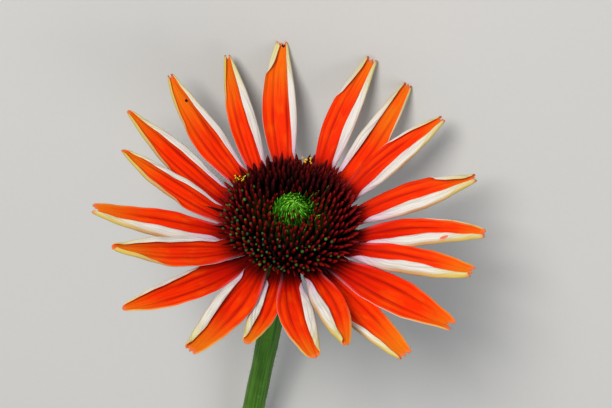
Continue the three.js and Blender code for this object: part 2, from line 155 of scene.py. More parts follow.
# The petal's tip: where its teeth start, the notches between them and the ragged edge along them
TEETH_FROM = 0.84
NOTCH_PLACES = {1: (0.0,), 2: (-0.4, 0.4)}
NOTCH_WIDTHS = {1: 0.5, 2: 0.22}
NOTCH_CURVE = 1.5
NOTCH_UNEVEN = (0.8, 1.1)
FLAP_RECESS = 0.5
RAGGED_DEPTH = 0.12
RAGGED_COUNT = 23
RAGGED_SHIFT = 6

# The petal's face and edges: grooves, a midrib, low swells, and a wave and a ripple in the free edge
GROOVE_AT = 0.42
GROOVE_WIDTH = 0.1
GROOVE_DEPTHS = (0.12, 0.26)
MIDRIB_AT = 0.03
MIDRIB_DEPTH = 0.05
SWELL = 0.11
SWELL_SUNK = 0.5
WAVE_DEPTH = 0.22
WAVE_COUNTS = (1.6, 2.8)
WAVE_APART = 2.1
RIPPLE_DEPTH = 0.08
RIPPLE_COUNT = 6.3
GROOVES_FULL_AT = 0.12
GROOVES_FADE_BY = 0.65
WAVES_FROM = 0.15
WAVES_GROW_OVER = 0.3

# Marks on single petals: petal, place along it, place across it in mm, radius in mm, 1 for a red one
MARKS = [
    (1, 0.975, 0.5, 0.45, 0), (2, 0.86, 1.4, 0.2, 0), (6, 0.74, 4.15, 0.42, 1), (19, 0.8, 0.6, 0.4, 0),
]
NO_MARK = (0, 0.0, 99.0, 0.1, 0)

# How finely a petal is drawn, and how thick it is
PETAL_FACE_COLUMNS = 15
PETAL_MARGIN_COLUMNS = 9
PLAIN_MARGIN_COLUMNS = 3
PETAL_ROWS = 40
PETAL_TIP_ROWS = 19
ARC_STEPS = 40
RIB_STEPS = 60
PETAL_THICKNESS = 0.5
PETAL_EDGE_THICKNESS = 0.22
THINS_OVER_EDGE = 0.5
THINS_OVER_TIP = 0.03
TIP_STAYS = 0.25
PETAL_ABOVE_TABLE = 0.12

# Cone: its body, and the dome of its spines' tips from the crown to the rim
CONE_PROFILE = [
    (0, 1.4), (10.6, 1.4), (13.1, 3.0), (13, 3.8), (11.4, 5.4), (9, 6.7), (6.6, 6.9), (5, 6), (0, 6),
]
TURNED_SIDES = 48
SPINE_COUNT = 430
SPINE_TIPS = [(6.2, 11.2), (9.3, 12.6), (12.2, 12), (15, 10.3), (17.3, 8), (18.6, 5.8)]
SPINE_TILTS = [4, 8, 14, 24, 42, 68]
TILT_UNEVEN = 5
HEIGHT_UNEVEN = 0.5
ASKEW = 0.1
SHORT_SIDE = 40
SHORT_BY = 0.1
SPINE_SUNK = 0.8
ROOT_STEP = 0.1
GOLDEN_ANGLE = 137.508

# Spines: where their rings stand, how thick these are, and how uneven a spine is
SPINE_SIDES = 6
SPINE_SHARES = np.array([0.0, 0.3, 0.55, 0.75, 0.9, 1.0])
SPINE_RADII = [0.5, 0.5, 0.47, 0.4, 0.23]
RIM_SPINE_RADII = [0.42, 0.42, 0.34, 0.23, 0.11]
SPINE_STOUTNESS = (0.88, 1.12)
FAR_STOUTER = 0.2
SPINE_SWAY = 0.6
SPINE_UNEVEN = (0.5, 2.2)
RIM_RAGGED = 2.8
CROWN_RAGGED = 1.9
FAR_RIM_SHORT = 1.2

# Where the rim, the far side and the lowest spines begin and how soon they are full, and the crown
RIM = (0.78, 0.18)
FAR_SIDE = (0.1, 0.5)
LOWEST_SPINES = (0.87, 0.1)
CROWN_AT = 0.7
CROWN_WIDTH = 0.1
CROWN_FULL = 1.6
LOWEST_DIM = 0.33
FAR_TONES = (0.4, 0.48)
FAR_TONES_REACH = 0.4
FAR_TONE_RISE = 0.3
FAR_AS_OUTER = 0.34

# Shorter spines right round the heart, and a few over its near side by clock, radius and height
INNER_SPINES = 38
INNER_SHIFT = 0.7
INNER_LENGTH = 4.6
INNER_LEAN = (-0.04, 0.1)
INNER_TWIST = 0.12
INNER_RADII = (4.9, 5.7)
INNER_HEIGHTS = (9.2, 11.0)
INNER_NEAR_LOWER = 0.9
INNER_FAR_DIM = 0.16
INNER_FAR_AS_OUTER = 0.28
FRONT_SPINES = [
    (181, 1.9, 11.3), (199, 3.1, 11.0), (163, 3.3, 11.1), (184, 4.0, 10.8), (148, 4.3, 10.7),
    (215, 4.4, 10.7), (232, 5.0, 10.5), (133, 5.1, 10.5),
]
FRONT_LENGTH = 4.0
FRONT_LEAN = 0.15
FRONT_DIM = 0.93

# Buds between the spines: the first spine with buds by it, the two spines next to it, the side where
# they are thick, and their size
BUDS_FROM = 60
BUD_NEIGHBOURS = (34, 55)
BUD_SIDE = 224
BUD_SPARSE = 0.2
BUD_THICK = 0.8
BUD_SUNK = (1.0, 2.6)
BUD_STRAY = 0.3
BUD_RADII = (0.3, 0.46)
BUD_STRETCH = 1.25
BUD_SIDES_AND_ROWS = (8, 5)

# Pollen by its place in the picture, its height in the head and the radius of its grains
POLLEN = [
    (304, 161, 10, 0.2), (308.5, 160.5, 10, 0.22), (237.5, 178, 10, 0.2), (243, 178.5, 10, 0.17),
]
POLLEN_GRAINS = 7
POLLEN_SPREAD = 1.3
GRAIN_SIDES_AND_ROWS = (6, 3)

# Slender green tips by their place in the picture, their height in the head and their size
GREEN_TIPS = [
    (233, 180, 9.5, 1.0), (236, 184, 9.0, 1.0), (329, 185, 10.0, 1.0), (332, 181, 9.5, 1.0),
    (326, 190, 10.0, 1.0), (307, 190, 10.9, 0.5), (313.5, 193.5, 11.2, 0.5), (319, 190, 11.4, 0.5),
    (319, 203, 11.2, 0.5), (320.5, 214.5, 11.0, 0.5), (319.5, 225, 10.9, 0.5), (312, 243, 9.6, 0.5),
    (306, 247, 9.2, 0.5),
]
GREEN_TIP_LENGTH = 4.2
GREEN_TIP_SHARES = (0, 0.35, 0.7, 1)
GREEN_TIP_RADII = [0.3, 0.27, 0.18]
GREEN_TIP_LEAN = 0.75
GREEN_TIP_BEND = 0.12

# Heart: its dome, and the fine bracts that curve in over it from the top, 0, to the edge, 1
HEART_REACH = 4.5
HEART_HEIGHT = 3.9
HEART_ROOT = 6.6
HEART_SWIRL = 7
HEART_CURVE = 0.9
HEART_DOME_ANGLES = [-5, 8, 22, 36, 50, 64, 78, 88]
HEART_DOME_INSET = 0.3
HEART_DOME_DROP = 0.1
HEART_DOME_SUNK = 0.4
HEART_DOME_SIDES = 36
HEART_SIDES = 5
HEART_SHARES = np.array([0.0, 0.25, 0.5, 0.72, 0.9, 1.0])
HEART_RADII = [0.3, 0.3, 0.27, 0.21, 0.11]
HEART_STARTS = (78, -8)
HEART_START_UNEVEN = 6
HEART_LENGTHS = (1.9, 3.3)
HEART_UNEVEN = (0.85, 1.15)
HEART_INSET = 0.25
HEART_CLEAR = 0.05
HEART_OFF = 0.8
HEART_OFF_UNEVEN = (0.4, 1.3)
HEART_SWIRL_SOFTENER = 0.35
HEART_EDGE_DIM = 0.62
HEART_SIDE_STEP = 0.3

# Thin green spikes: some right round the heart's edge, and some more along its near side
HEART_SPIKES = 48
NEAR_SPIKES = 34
NEAR_CLOCKS = (105, 265)
SPIKE_RADII = [0.3, 0.3, 0.26, 0.19, 0.1]
SPIKE_SHIFT = 0.8
SPIKE_FEET = (3.9, 4.7)
NEAR_SPIKE_FEET = (5.0, 6.6)
SPIKE_SUNK = 0.6
SPIKE_LEAN = (-0.05, 0.16)
SPIKE_TWIST = 0.2
SPIKE_LENGTHS = (2.4, 4.2)
SPIKE_FAR_SHORT = 0.7
SPIKE_DIM = 0.72

# Cup and bracts
CUP_PROFILE = [
    (0, -8), (2.8, -8), (3.2, -6), (5.2, -4.8), (8.6, -3.8), (10.4, -3), (10.4, 1.1), (0, 1.1),
]
BRACT_ROWS = [
    {"count": 14, "radius": 9.6, "height": -3.4, "dip": 4, "curl": 18, "length": 10.5, "width": 2.6},
    {"count": 13, "radius": 8.0, "height": -4.0, "dip": 26, "curl": 26, "length": 9.5, "width": 2.4},
    {"count": 11, "radius": 6.0, "height": -4.7, "dip": 50, "curl": 24, "length": 8.0, "width": 2.1},
]
# Smaller bracts stand between the others, up to the cup's rim
SMALL_BRACT_ROWS = [
    {"count": 13, "radius": 7.2, "height": -4.2, "dip": 34, "curl": 24, "length": 7.5, "width": 2.3},
    {"count": 14, "radius": 9.9, "height": -3.2, "dip": 2, "curl": 20, "length": 7.5, "width": 2.7},
]
BRACT_RINGS = 10
BRACT_SHARES = [(0.0, 0.3, 0.6, 0.85, 1.0), (0.9, 1.0, 0.68, 0.28, 0.03)]
# A bract's cross-section: a share of its half width and a further step across, and a step above
BRACT_SECTION = [
    (1, 0, 0.22), (0.55, 0, 0.02), (0, 0, -0.1), (-0.55, 0, 0.02), (-1, 0, 0.22),
    (-0.6, 0, -0.18), (0, -0.18, -0.42), (0, 0.18, -0.42), (0.6, 0, -0.18),
]
BRACT_SUNK = 1.2
BRACT_LENGTHS = (0.93, 1.0)
BRACT_ASKEW = 5
BRACT_DIP_UNEVEN = 6
BRACT_SWAY = 0.5
BRACT_THINS = 0.55

# Stem: its line, its thickness, its ribs and lumps, and its cut end
STEM_START = 5
STEM_LENGTH = 128
STEM_RADIUS = 2.7
STEM_END_RADIUS = 2.95
STEM_END_FALL = math.radians(5)
STEM_BEND_LENGTH = 43
STEM_HEADING = 4
STEM_SWAY = -7
STEM_LAG = 3.55
STEM_ROWS = 110
STEM_SUBSTEPS = 4
STEM_SIDES = 36
STEM_SLACK = 0.012
STEM_TWIST = 0.5
# Ribs by depth, number round the stem, share of the twist and shift; lumps by depth and number
RIBS = [(0.055, 9, 1, 0.0), (0.03, 17, 2, 1.3)]
SIDE_LUMPS = (0.05, 0.21)
RING_LUMPS = (0.04, 0.47)
# The cut end's rings: share of the radius, how far each stands out and how much of its pith shows
STEM_CUT = [(0.94, 0.12, 0.15), (0.8, 0.16, 0.5), (0.5, 0.05, 0.9), (0.2, 0.0, 1.0)]

# Hairs on the stem
HAIR_LEAN = (-0.5, 0.25)
HAIR_LENGTHS = (0.45, 1.15)
HAIR_SUNK = 0.1
HAIR_DROOP = -0.15
HAIR_RADII = [0.05, 0.032]
HAIR_ABOVE_TABLE = 0.02

# Stage: the table's half size and depth in metres, and the lamps with place and width in metres,
# share of the main lamp's power, and colour
TABLE_REACH = 3.0
TABLE_DEPTH = 0.01
LAMPS = [
    ("lamp", (0.28, -0.62, 0.85), 0.42, 1.0, (1.0, 0.975, 0.94)),
    ("fill_lamp", (-0.55, 0.35, 0.7), 0.6, 0.25, (0.94, 0.97, 1.0)),
]
ROOM_LIGHT = 0.34
ROOM_COLOUR = (0.86, 0.92, 1.0, 1.0)
FLESH_DEPTH = 0.0012


def seeded(seed):
    """The same draw of random numbers each time, and the same one as the solids."""
    state = seed
    while True:
        state = (state * 1664525 + 1013904223) % 4294967296
        yield state / 4294967296


def draw(random, count):
    return [next(random) for _ in range(count)]


def mix(low, high, share):
    return low + (high - low) * share


def ease(x):
    x = np.clip(x, 0.0, 1.0)
    return x * x * (3 - 2 * x)


def eased(x, start, width):
    """0 up to the start and 1 once x is that much past it."""
    return float(ease((x - start) / width))


def cosine(degrees):
    return math.cos(math.radians(degrees))


def head_frame():
    """The head's own frame in the world, in millimetres."""
    w = Vector((0, -math.cos(HEAD_RISE), math.sin(HEAD_RISE)))
    uphill = Vector((0, math.sin(HEAD_RISE), math.cos(HEAD_RISE)))
    u = Vector((-math.cos(HEAD_ROLL), 0, 0)) - math.sin(HEAD_ROLL) * uphill
    v = Vector((math.sin(HEAD_ROLL), 0, 0)) - math.cos(HEAD_ROLL) * uphill
    turned_axes = Matrix((u, v, w)).transposed().to_4x4()
    return Matrix.Translation(HEAD_PLACE) @ turned_axes


HEAD = np.array(head_frame())


def to_world(points):
    """Points in the head's frame, in millimetres, to points in the world, in metres."""
    points = np.asarray(points, float)
    return (points @ HEAD[:3, :3].T + HEAD[:3, 3]) * MM


def compass(clock):
    """The way out from the axis and the way clockwise round it."""
    a = math.radians(clock)
    return np.array([math.sin(a), math.cos(a), 0.0]), np.array([math.cos(a), -math.sin(a), 0.0])


def unit(v):
    v = np.asarray(v, float)
    return v / np.linalg.norm(v)


def over_pixel(x, y, height):
    """The point of the head, that far above its origin, that a pixel of the picture shows."""
    turn, tilt = VIEW_TURN, VIEW_TILT
    across = (x - HEAD_PIXEL[0]) * MM_PER_PIXEL
    rise = (HEAD_PIXEL[1] - y) * MM_PER_PIXEL
    u = (across - math.sin(turn) * height) / math.cos(turn)
    v = rise + math.sin(turn) * math.sin(tilt) * u - math.cos(turn) * math.sin(tilt) * height
    return np.array([u, v / math.cos(tilt), height])


# Shader maths as expressions


class Value:
    """A number or colour socket in a material, so that maths on it reads as an expression."""

    def __init__(self, finish, socket):
        self.finish = finish
        self.socket = socket

    def math(self, operation, *others):
        return self.finish.node("ShaderNodeMath", {"operation": operation}, [self, *others])

    def __add__(self, other):
        return self.math("ADD", other)

    def __sub__(self, other):
        return self.math("SUBTRACT", other)

    def __rsub__(self, other):
        return self.finish.node("ShaderNodeMath", {"operation": "SUBTRACT"}, [other, self])

    def __mul__(self, other):
        return self.math("MULTIPLY", other)

    def __abs__(self):
        return self.math("ABSOLUTE")

    __radd__ = __add__
    __rmul__ = __mul__

    def hypot(self, other):
        return (self * self + other * other).math("SQRT")

    def rise(self, low, high):
        """0 below low and 1 above high, or the other way round where high is the lower one."""
        return self.finish.node(
            "ShaderNodeMapRange", {"interpolation_type": "SMOOTHSTEP"}, {0: self, 1: low, 2: high}
        )


class Finish:
    """A material built from a few plain calls."""

    def __init__(self, name):
        self.material = bpy.data.materials.new(name)
        self.material.use_nodes = True
        self.tree = self.material.node_tree
        self.tree.nodes.clear()

    def node(self, kind, settings=None, inputs=None, output=0):
        """Any node: its settings first, then the values or links of its sockets. Gives one output."""
        made = self.tree.nodes.new(kind)
        for key, setting in (settings or {}).items():
            setattr(made, key, setting)
        listed = isinstance(inputs, (list, tuple))
        for key, item in enumerate(inputs) if listed else (inputs or {}).items():
            self.put(made.inputs[key], item)
        return Value(self, made.outputs[output])

    def put(self, socket, item):
        if isinstance(item, Value):
            self.tree.links.new(item.socket, socket)
        elif socket.type == "RGBA" and len(item) == 3:
            socket.default_value = (*item, 1.0)
        else:
            socket.default_value = item

    def attributes(self, *names):
        """The numbers that the mesh carries under these names."""
        return [
            self.node("ShaderNodeAttribute", {"attribute_name": name}, output="Fac") for name in names
        ]

    def place(self):
        return self.node("ShaderNodeTexCoord", output="Object")

    def spread(self, x, y, z=0.0):
        return self.node("ShaderNodeCombineXYZ", inputs=[x, y, z])

    def noise(self, vector, scale, detail=2.0, roughness=0.5):
        inputs = {"Vector": vector, "Scale": scale, "Detail": detail, "Roughness": roughness}
        return self.node("ShaderNodeTexNoise", inputs=inputs, output="Fac")

    def cells(self, vector, scale):
        inputs = {"Vector": vector, "Scale": scale}
        return self.node("ShaderNodeTexVoronoi", inputs=inputs, output="Distance")

    def blend(self, share, low, high):
        """A colour between two colours."""
        settings = {"data_type": "RGBA", "blend_type": "MIX"}
        return self.node("ShaderNodeMix", settings, {0: share, 6: low, 7: high}, output=2)

    def coats(self, colour, *coats):
        """A colour with others laid over it in turn, each through its own mask."""
        for mask, over in coats:
            colour = self.blend(mask, colour, over)
        return colour

    def ramp(self, share, *stops):
        """A colour that runs through stops of place and colour."""
        value = self.node("ShaderNodeValToRGB", inputs=[share])
        band = value.socket.node.color_ramp
        band.interpolation = "EASE"
        while len(band.elements) < len(stops):
            band.elements.new(0.5)
        for element, (place, colour) in zip(band.elements, stops):
            element.position = place
            element.color = (*colour, 1.0)
        return value

    def bump(self, height, distance, strength):
        inputs = {"Height": height, "Distance": distance, "Strength": strength}
        return self.node("ShaderNodeBump", inputs=inputs, output="Normal")

    def surface(self, colour, roughness, normal, shine, flesh=0.0, flesh_colour=(1.0, 0.5, 0.2)):
        """The shader itself. flesh is the share of the light that goes in and comes out again."""
        inputs = {
            "Base Color": colour, "Roughness": roughness, "Normal": normal,
            "Specular IOR Level": shine, "Subsurface Weight": flesh,
            "Subsurface Radius": flesh_colour, "Subsurface Scale": FLESH_DEPTH,
        }
        shader = self.node("ShaderNodeBsdfPrincipled", inputs=inputs, output="BSDF")
        end = self.tree.nodes.new("ShaderNodeOutputMaterial")
        self.put(end.inputs["Surface"], shader)
        return self.material


# Meshes


class Build:
    """Points, faces and one or more numbers a point, gathered into one mesh."""

    def __init__(self):
        self.points = []
        self.faces = []
        self.values = {}
        self.count = 0

    def add(self, points, faces, **values):
        points = np.asarray(points, float)
        self.points.append(points)
        self.faces.extend([tuple(int(k) + self.count for k in face) for face in faces])
        for key, value in values.items():
            spread = np.broadcast_to(np.asarray(value, float), len(points))
            self.values.setdefault(key, []).append(spread)
        self.count += len(points)

    def horn(self, path, radii, sides, turn, **values):
        points, faces = tapered(path, radii, sides, turn)
        self.add(to_world(points), faces, **values)

    def piece(self, name, material, slot, *nodes):
        """The gathered mesh as one object of the flower, riding on its only body."""
        points = np.concatenate(self.points)
        mesh = bpy.data.meshes.new(name)
        mesh.from_pydata(points.tolist(), [], self.faces)
        for key, parts in self.values.items():
            layer = mesh.attributes.new(key, "FLOAT", "POINT")
            layer.data.foreach_set("value", np.concatenate(parts).astype(np.float32))
        mesh.polygons.foreach_set("use_smooth", [True] * len(mesh.polygons))
        mesh.materials.append(material)
        mesh.update()
        made = bpy.data.objects.new(name, mesh)
        bpy.context.scene.collection.objects.link(made)
        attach(made, "root")
        if nodes:
            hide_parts(*nodes)


def above_table(points, lift=0.0):
    """Points in metres, none of them below the table."""
    points = np.array(points, float)
    points[:, 2] = np.maximum(points[:, 2], lift * MM)
    return points


def tube(rings, start=None, end=None):
    """Points and faces of a closed tube through rings of points, ending in a point or a flat face."""
    sides = len(rings[0])
    points = [np.asarray(ring, float) for ring in rings]
    faces = []
    for i in range(len(rings) - 1):
        for j in range(sides):
            a, b = i * sides + j, i * sides + (j + 1) % sides
            faces.append((a, b, b + sides, a + sides))
    last = (len(rings) - 1) * sides
    extra = []
    for rim, place, turned_over in ((0, start, True), (last, end, False)):
        if place is None:
            place = np.mean(points[0 if turned_over else -1], axis=0)
        at = len(rings) * sides + len(extra)
        extra.append(np.asarray(place, float))
        for j in range(sides):
            a, b = rim + j, rim + (j + 1) % sides
            faces.append((b, a, at) if turned_over else (a, b, at))
    return np.concatenate(points + [np.array(extra)]), faces


def ring_at(place, direction, radius, sides, turn=0.0):
    """Points of a ring square to a direction."""
    direction = unit(direction)
    guide = UP if abs(direction[2]) < 0.9 else np.array([1.0, 0.0, 0.0])
    side = unit(np.cross(guide, direction))
    rise = np.cross(direction, side)
    angles = 2 * math.pi * np.arange(sides) / sides + turn
    return place + radius * (np.outer(np.cos(angles), side) + np.outer(np.sin(angles), rise))


def tapered(path, radii, sides, turn=0.0):
    """A closed horn along a path of points. The last point is its tip."""
    path = np.asarray(path, float)
    rings = []
    for k, radius in enumerate(radii):
        before, after = path[max(k - 1, 0)], path[min(k + 1, len(path) - 1)]
        rings.append(ring_at(path[k], after - before, radius, sides, turn))
    return tube(rings, end=path[-1])


def up_horn(shares, sides):
    """How far up a horn each of its points stands, whose rings and tip stand at these shares."""
    return np.concatenate([np.repeat(shares[:-1], sides), [0.0, 1.0]])


def ball(place, radius, sides, rows, stretch=1.0, axis=UP):
    """A small round grain, a little longer along its axis."""
    axis = unit(axis)
    rings = []
    for k in range(1, rows + 1):
        a = math.pi * k / (rows + 1)
        middle = np.asarray(place) - axis * radius * stretch * math.cos(a)
        rings.append(ring_at(middle, axis, radius * math.sin(a), sides, 0.5 * k))
    return tube(rings, place - axis * radius * stretch, place + axis * radius * stretch)


def turned(profile, sides):
    """A shape turned about the head's axis, from a profile that starts and ends on it."""
    angles = 2 * math.pi * np.arange(sides) / sides
    rings = [
        np.stack([r * np.cos(angles), r * np.sin(angles), np.full(sides, h)], axis=1)
        for r, h in profile[1:-1]
    ]
    return tube(rings, (0, 0, profile[0][1]), (0, 0, profile[-1][1]))


# Petals


def margin_growth(margin, s):
    """How much of its full width a margin has along the petal."""
    if margin["width"] == 0:
        return np.zeros_like(s)
    grown = ease((s - margin["start"]) / (margin["full"] - margin["start"]))
    return grown * (1 - FADES_BY * ease((s - margin["fade"]) / (1 - margin["fade"])))


def half_face(petal, s):
    """Half the width of a petal's face."""
    claw = mix(CLAW_SHARE, 1.0, ease(s / BELLY_AT) ** CLAW_CURVE)
    tip = mix(1.0, petal["tip"], np.clip((s - BELLY_AT) / (1 - BELLY_AT), 0, 1) ** TIP_CURVE)
    return petal["half"] * np.where(s < BELLY_AT, claw, tip)


def section(petal, margin, s, reach):
    """A petal's cross-section: across, above, its slope, the length of the arc, the margin's width."""
    face = half_face(petal, s)
    grown = margin_growth(margin, s)
    turn = np.radians(mix(PLAIN["turn"], margin["turn"], ease(TURNS_SOON * grown)))
    free = EDGE + margin["width"] * grown
    arc = face * np.minimum(reach, 1) + free * np.maximum(reach - 1, 0)

    def slope(x):
        folded = turn * ease((x - face + FOLD_REACH) / (2 * FOLD_REACH))
        return DISH * np.minimum(1, x / face) ** 2 + folded

    across = np.zeros_like(arc)
    above = np.zeros_like(arc)
    for k in range(ARC_STEPS):
        angle = slope((k + 0.5) * arc / ARC_STEPS)
        across += np.cos(angle) * arc / ARC_STEPS
        above += np.sin(angle) * arc / ARC_STEPS
    return across, above, slope(arc), arc, free


def midrib(petal, s):
    """Places and directions along the midrib, out of the head's centre along x."""

    def heading(share):
        lift = np.radians(petal["lift"] + petal["curl"] * share)
        bearing = np.radians(petal["lean"] + petal["sweep"] * share)
        level = np.stack([np.cos(bearing), np.sin(bearing), np.zeros_like(bearing)], axis=-1)
        along = level * np.cos(lift)[..., None]
        along[..., 2] = np.sin(lift)
        across = np.stack([-np.sin(bearing), np.cos(bearing), np.zeros_like(bearing)], axis=-1)
        return along, across

    mids, _ = heading((np.arange(RIB_STEPS) + 0.5) / RIB_STEPS)
    line = np.concatenate([[[0, 0, 0]], np.cumsum(mids * petal["length"] / RIB_STEPS, axis=0)])
    line += (ROOT_RADIUS, 0, petal["layer"])
    knots = np.arange(RIB_STEPS + 1) / RIB_STEPS
    place = np.stack([np.interp(s, knots, line[:, k]) for k in range(3)], axis=-1)
    return place, *heading(s)


def petal_reaches(margin):
    """How far out from the midrib the columns of one side are: 1 is the fold and 2 the free edge."""
    face = list(np.linspace(0, 1, PETAL_FACE_COLUMNS)[1:])
    count = PETAL_MARGIN_COLUMNS if margin["width"] else PLAIN_MARGIN_COLUMNS
    return face + list(1 + np.arange(1, count + 1) / count)


def tip_recess(petal, reach, draws):
    """How far short of its full length a petal's edge ends: notches, rounded off to the sides."""
    recess = petal["round"] * np.minimum(1, reach ** 2)
    recess = recess + FLAP_RECESS * np.maximum(0, np.abs(reach) - 1)
    width = NOTCH_WIDTHS[petal["notches"]]
    for k, place in enumerate(NOTCH_PLACES[petal["notches"]]):
        notch = np.exp(-np.abs((reach - place) / width) ** NOTCH_CURVE)
        recess = recess + petal["depth"] * mix(*NOTCH_UNEVEN, draws[k]) * notch
    ragged = np.sin(RAGGED_COUNT * reach + RAGGED_SHIFT * draws[2])
    return recess + RAGGED_DEPTH * ragged * petal["depth"]


def petal_relief(s, reach, draws):
    """How far a petal's face sinks in its grooves, and how far its free edges lift in waves."""
    grooves = (
        (-GROOVE_AT, mix(*GROOVE_DEPTHS, draws[4])), (GROOVE_AT, mix(*GROOVE_DEPTHS, draws[5])),
        (MIDRIB_AT, MIDRIB_DEPTH),
    )
    sink = 0.0
    for place, strength in grooves:
        sink = sink + strength * np.exp(-(((reach - place) / GROOVE_WIDTH) ** 2))
    swell = SWELL * np.cos(2 * np.pi * reach / GROOVE_AT)
    fade = ease(s / GROOVES_FULL_AT) * (1 - GROOVES_FADE_BY * s)
    edge = np.clip(np.abs(reach), 0, 1) ** 3 * ease((s - WAVES_FROM) / WAVES_GROW_OVER)
    turns = s * mix(*WAVE_COUNTS, draws[6]) + draws[7]
    wave = np.sin(2 * np.pi * turns + np.where(reach < 0, 0, WAVE_APART))
    ripple = np.sin(2 * np.pi * (RIPPLE_COUNT * s + draws[8]))
    lift = WAVE_DEPTH * wave * edge + RIPPLE_DEPTH * ripple * edge
    return (sink + swell * SWELL_SUNK) * fade, lift


def petal_sheet(petal, number):
    """A petal's upper and under sides on a grid, in the head's frame, and what its finish needs."""
    draws = draw(seeded(100 + number), 9)
    left, right = petal_reaches(petal["left"]), petal_reaches(petal["right"])
    reach = np.array([-x for x in reversed(left)] + [0.0] + right)
    rows = np.concatenate([
        np.linspace(0, TEETH_FROM, PETAL_ROWS)[:-1], np.linspace(TEETH_FROM, 1, PETAL_TIP_ROWS),
    ])
    rows, reach = np.meshgrid(rows, reach, indexing="ij")
    recess = tip_recess(petal, reach, draws)
    s = rows - recess / petal["length"] * ease((rows - TEETH_FROM) / (1 - TEETH_FROM))

    def by_side(key):
        return np.where(reach < 0, petal["left"][key], petal["right"][key])

    hand = np.sign(reach)
    parts = [section(petal, petal[key], s, np.abs(reach)) for key in ("left", "right")]
    across, above, slope, arc, free = (np.where(reach < 0, a, b) for a, b in zip(*parts))
    sink, lift = petal_relief(s, reach, draws)

    place, along, sideways = midrib(petal, s)
    up = np.cross(along, sideways)
    middle = place + sideways * (hand * across)[..., None] + up * (above + lift)[..., None]
    normal = up * np.cos(slope)[..., None] - sideways * (hand * np.sin(slope))[..., None]
    middle = middle - normal * (sink * (np.abs(reach) < 1))[..., None]
    from_edge = np.minimum(1, np.abs(2 - np.abs(reach)) / THINS_OVER_EDGE)
    from_tip = np.minimum(1, (1 - rows) / THINS_OVER_TIP + TIP_STAYS)
    thick = mix(PETAL_EDGE_THICKNESS, PETAL_THICKNESS, from_edge * from_tip)[..., None]
    top, under = middle + normal * thick / 2, middle - normal * thick / 2

    out, round_ = compass(petal["clock"])
    basis = np.stack([out, round_, UP])
    fold_mm = arc - half_face(petal, s)
    values = {
        "along": s, "reach": reach, "along_mm": s * petal["length"], "across_mm": hand * arc,
        "fold_mm": fold_mm, "cover_mm": fold_mm + free, "ochre_mm": by_side("ochre"),
        "rolled": by_side("turn") / FULL_TURN,
    }
    return top @ basis, under @ basis, values


def sheet_faces(row_count, column_count):
    """Faces of a closed sheet: its top, its under side and the wall round its rim."""
    under = row_count * column_count
    at = np.arange(under).reshape(row_count, column_count)
    a, b, c, d = at[:-1, :-1].ravel(), at[:-1, 1:].ravel(), at[1:, 1:].ravel(), at[1:, :-1].ravel()
    faces = list(np.stack([a, b, c, d], axis=1)) + list(np.stack([d, c, b, a], axis=1) + under)
    rim = [*at[0, :-1], *at[:-1, -1], *at[-1, :0:-1], *at[:0:-1, 0]]
    for k, first in enumerate(rim):
        second = rim[(k + 1) % len(rim)]
        faces.append((first, first + under, second + under, second))
    return faces


# Cone and stem


def height_over(profile, radius):
    """Height of a turned profile's upper side over a radius."""
    rim = max(range(len(profile)), key=lambda k: profile[k][0])
    for (r0, h0), (r1, h1) in zip(profile[rim:], profile[rim + 1:]):
        if r1 <= radius <= r0:
            return mix(h0, h1, (r0 - radius) / (r0 - r1))
    return profile[rim][1]


def spine_tips():
    """Number, tip, way out, root and turn of each spine, leaning out more the lower it stands."""
    random = seeded(7)
    spans = [
        math.hypot(r1 - r0, h1 - h0) * (r1 + r0)
        for (r0, h0), (r1, h1) in zip(SPINE_TIPS, SPINE_TIPS[1:])
    ]
    for k in range(SPINE_COUNT):
        rest = sum(spans) * (k + 0.5) / SPINE_COUNT
        band = 0
        while rest > spans[band]:
            rest -= spans[band]
            band += 1
        share = rest / spans[band]
        (r0, h0), (r1, h1) = SPINE_TIPS[band], SPINE_TIPS[band + 1]
        clock = k * GOLDEN_ANGLE
        out, round_ = compass(clock)
        tilt = mix(SPINE_TILTS[band], SPINE_TILTS[band + 1], share)
        tilt = math.radians(tilt + TILT_UNEVEN * (next(random) - 0.5))
        shorter = SHORT_BY * math.sqrt(max(0.0, cosine(clock - SHORT_SIDE)))
        radius = mix(r0, r1, share) * (1 - shorter)
        height = mix(h0, h1, share) + HEIGHT_UNEVEN * (next(random) - 0.5)
        tip = out * radius + UP * height
        lean = out * math.sin(tilt) + UP * math.cos(tilt)
        lean = unit(lean + round_ * ASKEW * (next(random) - 0.5))
        root = tip.copy()
        while root[2] > height_over(CONE_PROFILE, math.hypot(root[0], root[1])) - SPINE_SUNK:
            root -= lean * ROOT_STEP
        yield k, tip, lean, root, next(random) * 2


def stem_line(count):
    """Places, directions and distances along the middle of the stem, in the world, in millimetres."""
    place = HEAD[:3, :3] @ (UP * -STEM_START) + HEAD[:3, 3]
    steps = STEM_SUBSTEPS * count
    step = STEM_LENGTH / steps
    line, ways, runs = [], [], []
    for k in range(steps + 1):
        seat = max(0.0, k * step - STEM_LAG)
        steeper = (HEAD_RISE - STEM_END_FALL) * math.exp(-seat / STEM_BEND_LENGTH)
        fall = STEM_END_FALL + steeper
        heading = math.radians(STEM_HEADING + STEM_SWAY * (seat / STEM_LENGTH) ** 2)
        way = np.array([
            math.sin(heading) * math.cos(fall), math.cos(heading) * math.cos(fall), -math.sin(fall),
        ])
        if k % STEM_SUBSTEPS == 0:
            line.append(place.copy())
            ways.append(way)
            runs.append(k * step)
        place = place + way * step
    return np.array(line), np.array(ways), np.array(runs)


# Finishes. Colours are linear.


